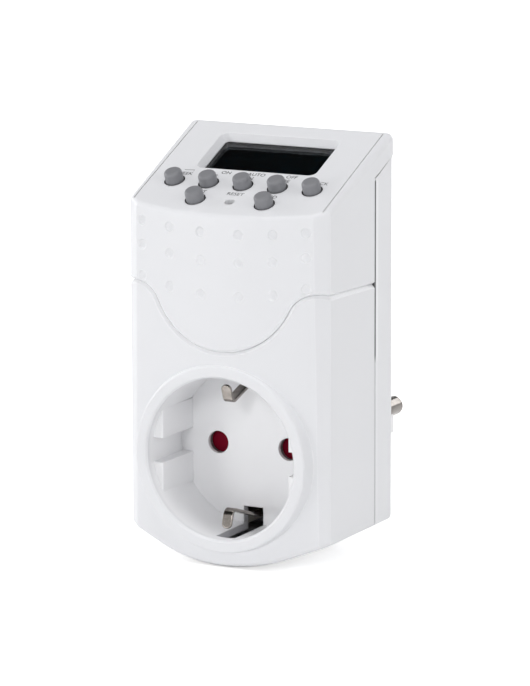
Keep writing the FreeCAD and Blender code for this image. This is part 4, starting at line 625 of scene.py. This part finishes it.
def metal(name, colour, dull_colour, dull=0.4, roughness=0.2, depth=0.15, reach=None):
    """Drawn or plated metal, with painted shade deep in a hole if a reach in millimetres is given.
    """
    material, tree = new_material(name)
    drawn = group_node(tree, DRAWN, Colour=rgba(colour), Dull_Colour=rgba(dull_colour), Dull=dull,
                       Roughness=roughness, Depth=depth)
    base = drawn["Colour"]
    if reach:
        crevices = group_node(tree, CREVICES, Reach=reach * MM)
        base = scaled(tree, base, mix(tree, "FLOAT", crevices["Open"], GAP_TONE, 1.0))
    surface(tree, Metallic=1.0, Base_Color=base, Roughness=drawn["Roughness"],
            Normal=drawn["Normal"])
    return material


def lens_material():
    """Clear flat window with hardly any reflection of its own."""
    material, tree = new_material("display_lens_clear")
    surface(tree, Base_Color=rgba((0.50, 0.55, 0.58)), Roughness=0.03, IOR=1.46,
            Transmission_Weight=1.0, Specular_IOR_Level=0.0)
    return material


def mirrored_rays(tree, path):
    """1 for rays from gloss and through glass."""
    return maths(tree, "MAXIMUM", path["Is Glossy Ray"], path["Is Transmission Ray"])


def stage_material():
    """White floor and backdrop that keep the object's shadow; the lift is seen, not cast."""
    material, tree = new_material("studio_white")
    path = add(tree, "ShaderNodeLightPath").outputs
    seen = maths(tree, "MAXIMUM", path["Is Camera Ray"], mirrored_rays(tree, path))
    diffuse = add(tree, "ShaderNodeBsdfDiffuse", Color=rgba(FLOOR_WHITE))
    lift = add(tree, "ShaderNodeEmission", Color=rgba((1, 1, 1)),
               Strength=maths(tree, "MULTIPLY", seen, FLOOR_LIFT))
    both = add(tree, "ShaderNodeAddShader")
    feed(tree, both.inputs[0], diffuse.outputs[0])
    feed(tree, both.inputs[1], lift.outputs[0])
    add(tree, "ShaderNodeOutputMaterial", Surface=both.outputs[0])
    return material


# Finishes

WHITE = (0.768, 0.774, 0.798)
EDGE_HIGHLIGHT_WHITE = (0.94, 0.945, 0.96)
# lighter white in the socket recess: painted light on the same plastic
RECESS_LIT_WHITE = (0.878, 0.880, 0.896)
# the white shells take a strong painted highlight on their edges
SHELL = {"roughness": 0.36, "edge_colour": EDGE_HIGHLIGHT_WHITE, "edge_light": 0.7, "drift": 0.02,
         "radius": 0.32, "front_radius": 0.9, "Specular_IOR_Level": 0.45}
PLATE = {"dull": 0.6, "roughness": 0.14, "depth": 0.12}
FINISHES = {
    "white_housing": plastic("white_housing", WHITE, recess_lit_colour=RECESS_LIT_WHITE, **SHELL),
    "white_cover": plastic("white_cover", WHITE, recess_lit_colour=WHITE, **SHELL),
    "carrier_plastic": plastic("carrier_cream", (0.62, 0.60, 0.54), roughness=0.45),
    "screw_steel": metal("zinc_plated_screw", (0.58, 0.58, 0.60), (0.42, 0.42, 0.45),
                         roughness=0.28),
    "shutter_red": plastic("shutter_red", (0.20, 0.001, 0.016), roughness=0.6, drift=0.12,
                           edge_light=0.1, Specular_IOR_Level=0.08),
    "spring_steel": metal("spring_steel", (0.56, 0.56, 0.56), (0.36, 0.36, 0.37)),
    "nickel": metal("nickel_plate", (0.38, 0.348, 0.322), (0.18, 0.164, 0.150), **PLATE),
    # a darker copy of the nickel plate for the two pins: painted shade
    "pin_nickel_shaded": metal("pin_plate_shaded", (0.22, 0.202, 0.190), (0.11, 0.101, 0.094), **PLATE),
    # the brass sleeves take painted shade deep in their holes
    "contact_brass": metal("contact_brass", (0.76, 0.58, 0.28), (0.50, 0.36, 0.16), reach=9.0),
    "silicone": plastic("keypad_silicone", (0.50, 0.51, 0.53), roughness=0.62, radius=0.2),
    "black_plastic": plastic("black_case", (0.018, 0.018, 0.020), roughness=0.46, drift=0.2,
                             edge_light=0.2),
    "button_grey": plastic("button_grey", (0.212, 0.215, 0.230), roughness=0.48, drift=0.08,
                           edge_light=0.12, grain=4200.0, depth=0.18, radius=0.12),
    "lens": lens_material(),
    "frame_grey": plastic("display_frame_grey", (0.006, 0.006, 0.007), roughness=0.6, drift=0.1,
                          edge_colour=(0.008, 0.008, 0.009), edge_light=0.1,
                          Specular_IOR_Level=0.08),
    "lcd": plastic("display_panel", (0.0012, 0.020, 0.034), roughness=0.5, drift=0.3,
                   edge_light=0.0, depth=0.02, radius=0.05, Specular_IOR_Level=0.0),
    "zebra_rubber": plastic("conductive_rubber", (0.022, 0.022, 0.022), roughness=0.7, drift=0.2),
    "board_green": plastic("board_green", (0.02, 0.12, 0.05), roughness=0.35, drift=0.25),
    "battery_steel": metal("battery_can", (0.62, 0.62, 0.63), (0.45, 0.45, 0.47), roughness=0.25),
    "board_brown": plastic("board_brown", (0.30, 0.19, 0.08), roughness=0.45, drift=0.25),
    "capacitor_yellow": plastic("film_capacitor_yellow", (0.62, 0.40, 0.04), roughness=0.22),
    "capacitor_sleeve": plastic("capacitor_sleeve", (0.02, 0.025, 0.06), roughness=0.25),
    "varistor_blue": plastic("varistor_blue", (0.02, 0.09, 0.32), roughness=0.3),
    "resistor_blue": plastic("resistor_blue", (0.12, 0.28, 0.42), roughness=0.3),
}
INK = plastic("label_ink", (0.030, 0.031, 0.036), roughness=0.5, edge_light=0.0, radius=0.01)


def finish_nodes():
    """Every CAD node gets the finish of its slot, and the two pins a darker copy of the nickel
    plate, painted shade.
    """
    slots = {part["node"]: part["material_slot"] for part in frame["record"]["subparts"]}
    for name, node in frame["nodes"].items():
        node.data.materials.clear()
        finish = "pin_nickel_shaded" if name.endswith("_plug_pin") else slots[name]
        node.data.materials.append(FINISHES[finish])


# Labels

def label_mesh(name, text, middle, baseline):
    """Flat letters of the label, their middle and baseline put on the control face."""
    curve = bpy.data.curves.new(name, "FONT")
    curve.body = text
    curve.align_x = "CENTER"
    curve.size = LABEL_HEIGHT / CAPITAL_SHARE
    curve.resolution_u = LETTER_STEPS
    return curve_mesh(name, curve, (middle, baseline, LABEL_LIFT))


def mark_mesh(name, path):
    """Thin printed line: a ribbon of even width along a path on the control face."""
    path = np.asarray(path, dtype=float)
    along = np.gradient(path, axis=0)
    along /= np.linalg.norm(along, axis=1)[:, None]
    across = np.stack((-along[:, 1], along[:, 0]), axis=1) * MARK_WIDTH / 2
    rows = []
    for side in (path + across, path - across):
        flat = np.column_stack((side, np.full(len(side), LABEL_LIFT)))
        rows.append(on_slope(flat))
    return grid_mesh(name, np.stack(rows))


def make_labels():
    """Printed words and bracket lines on the control face."""
    meshes = {}
    for text, middle, baseline in LABELS:
        name = "label_" + text.lower()
        meshes[name] = label_mesh(name, text, middle, baseline)
    for name, path in MARKS:
        meshes[name] = mark_mesh(name, path)
    for name, mesh in meshes.items():
        piece = new_piece(name, mesh, INK)
        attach(piece, "case")


# Rubber keypad

def sheet_outlines():
    """Edge of the rubber sheet with its notches, the switch's opening, and the domes' holes."""
    edge = [(-SHEET_SIDE, SHEET_HIGH), (-SHEET_SIDE, POST_TOP), (-POST_SIDE, POST_TOP),
            (-POST_SIDE, SHEET_LOW), (POST_SIDE, SHEET_LOW), (POST_SIDE, POST_TOP),
            (SHEET_SIDE, POST_TOP), (SHEET_SIDE, SHEET_HIGH)]
    across, along = SWITCH_HALF
    opening = [(-across, ROW_LOW - along), (across, ROW_LOW - along),
               (across, ROW_LOW + along), (-across, ROW_LOW + along)]
    turn = np.linspace(0, 2 * math.pi, TURN_STEPS, endpoint=False)
    circle = HOLLOW_RADII[1] * np.column_stack((np.cos(turn), np.sin(turn)))
    holes = [circle + (column * BUTTON_PITCH, row) for _, column, row in BUTTONS]
    return [np.array(edge), np.array(opening)] + holes


def keypad_sheet():
    """Flat rubber sheet: the outlines filled and given the sheet's thickness."""
    curve = bpy.data.curves.new("keypad_sheet", "CURVE")
    curve.dimensions = "2D"
    curve.fill_mode = "BOTH"
    curve.extrude = (BOARD_DROP - SHEET_DROP) / 2
    for outline in sheet_outlines():
        spline = curve.splines.new("POLY")
        spline.points.add(len(outline) - 1)
        corners = np.column_stack((outline, np.zeros(len(outline)), np.ones(len(outline))))
        spline.points.foreach_set("co", corners.ravel())
        spline.use_cyclic_u = True
    mesh = curve_mesh("keypad_sheet", curve, (0, 0, -(SHEET_DROP + BOARD_DROP) / 2))
    close_mesh(mesh)
    return mesh


def dome_profile():
    """Half section of a dome: flat top, cone down to the sheet, and the hollow back up."""
    share = np.linspace(0, 1, DOME_POINTS)
    outside = np.column_stack((np.interp(share, (0, 1), DOME_RADII),
                               np.interp(share, (0, 1), (DOME_DROP, SHEET_DROP))))
    inside = np.column_stack((np.interp(share, (0, 1), HOLLOW_RADII[::-1]),
                              np.interp(share, (0, 1), (SHEET_DROP, DOME_UNDER))))
    return np.vstack(([(0, DOME_DROP)], outside, inside, [(0, DOME_UNDER)]))


def make_keypad():
    """Sheet on the case, and under each button a dome and a nub that moves with the button."""
    rubber = FINISHES["silicone"]
    sheet = new_piece("keypad_sheet", keypad_sheet(), rubber)
    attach(sheet, "case")
    pieces = [sheet]
    nub_profile = [(0, NUB_TOP), (NUB_RADIUS, NUB_TOP), (NUB_RADIUS, PILL_DROP), (0, PILL_DROP)]
    for body, column, row in BUTTONS:
        middle = (column * BUTTON_PITCH, row)
        dome = new_piece(body + "_dome", turned_mesh(body + "_dome", dome_profile(), middle), rubber)
        low, high = on_slope([(*middle, -SHEET_DROP), (*middle, DOME_BEND - SHEET_DROP)])
        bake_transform(dome)
        nub = new_piece(body + "_nub", turned_mesh(body + "_nub", nub_profile, middle), rubber)
        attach(nub, body)
        pieces += [dome, nub]
    for piece in pieces:
        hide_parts("keypad_mat")


# Camera, light and backdrop

def make_camera():
    """Camera turned by its azimuth and elevation, then rolled about its own line of sight."""
    data = bpy.data.cameras.new("camera")
    data.lens = CAMERA_LENS
    data.sensor_width = CAMERA_SENSOR
    data.clip_start = CAMERA_NEAR
    data.clip_end = CAMERA_FAR
    camera = bpy.data.objects.new("camera", data)
    bpy.context.scene.collection.objects.link(camera)
    yaw = math.radians(CAMERA_AZIMUTH)
    pitch = math.radians(CAMERA_ELEVATION)
    roll = math.radians(CAMERA_ROLL)
    back = Vector((math.sin(yaw) * math.cos(pitch), -math.cos(yaw) * math.cos(pitch),
                   math.sin(pitch)))
    right = Vector((math.cos(yaw), math.sin(yaw), 0))
    up = right.cross(-back)
    rolled_right = math.cos(roll) * right + math.sin(roll) * up
    rolled_up = math.cos(roll) * up - math.sin(roll) * right
    turn = Matrix((rolled_right, rolled_up, back)).transposed()
    camera.matrix_world = Matrix.Translation(CAMERA_PLACE) @ turn.to_4x4()
    bpy.context.scene.camera = camera


def make_world():
    """White where the camera looks, plain even light on the object, and a darker ceiling that
    only gloss and glass show."""
    world = bpy.data.worlds.new("studio")
    bpy.context.scene.world = world
    world.use_nodes = True
    tree = world.node_tree
    tree.nodes.clear()
    direction = add(tree, "ShaderNodeTexCoord").outputs["Generated"]
    upward = add(tree, "ShaderNodeSeparateXYZ", Vector=direction).outputs["Z"]
    ceiling = ramp(tree, upward, CEILING_RISE, CEILING_LEVELS)
    path = add(tree, "ShaderNodeLightPath").outputs
    level = mix(tree, "FLOAT", mirrored_rays(tree, path), WORLD_LEVEL, ceiling)
    seen = mix(tree, "FLOAT", path["Is Camera Ray"], level, 1.0)
    light = add(tree, "ShaderNodeBackground", Color=rgba((1, 1, 1)), Strength=seen)
    add(tree, "ShaderNodeOutputWorld", Surface=light.outputs[0])


def make_lamp(name, place, size, power):
    data = bpy.data.lights.new(name, "AREA")
    data.shape = "DISK"
    data.size = size
    data.energy = power
    lamp = bpy.data.objects.new(name, data)
    lamp.location = place
    towards = Vector(LAMP_AIM) - Vector(place)
    lamp.rotation_euler = towards.to_track_quat("-Z", "Y").to_euler()
    bpy.context.scene.collection.objects.link(lamp)


def backdrop_points():
    """Floor and backdrop: a profile of floor, quarter circle and wall, carried along X."""
    low = CAD_BOX[0].z - FLOOR_GAP
    turn = np.linspace(0, math.pi / 2, COVE_POINTS)
    cove_y = FLOOR_BACK - COVE_RADIUS + COVE_RADIUS * np.sin(turn)
    cove_z = low + COVE_RADIUS * (1 - np.cos(turn))
    profile_y = np.concatenate(([-FLOOR_FRONT], cove_y, [FLOOR_BACK]))
    profile_z = np.concatenate(([low], cove_z, [low + WALL_HEIGHT]))
    across = np.linspace(-FLOOR_HALF_WIDTH, FLOOR_HALF_WIDTH, FLOOR_COLUMNS)
    points = np.empty((len(profile_y), len(across), 3))
    points[..., 0] = across
    points[..., 1] = profile_y[:, None]
    points[..., 2] = profile_z[:, None]
    return points


def make_studio():
    make_camera()
    make_world()
    floor = new_piece("backdrop", grid_mesh("backdrop", backdrop_points()), stage_material())
    for name, place, size, power in LAMPS:
        make_lamp(name, place, size, power)


make_studio()
finish_nodes()
make_keypad()
make_labels()

bpy.context.scene.view_settings.view_transform = "Standard"
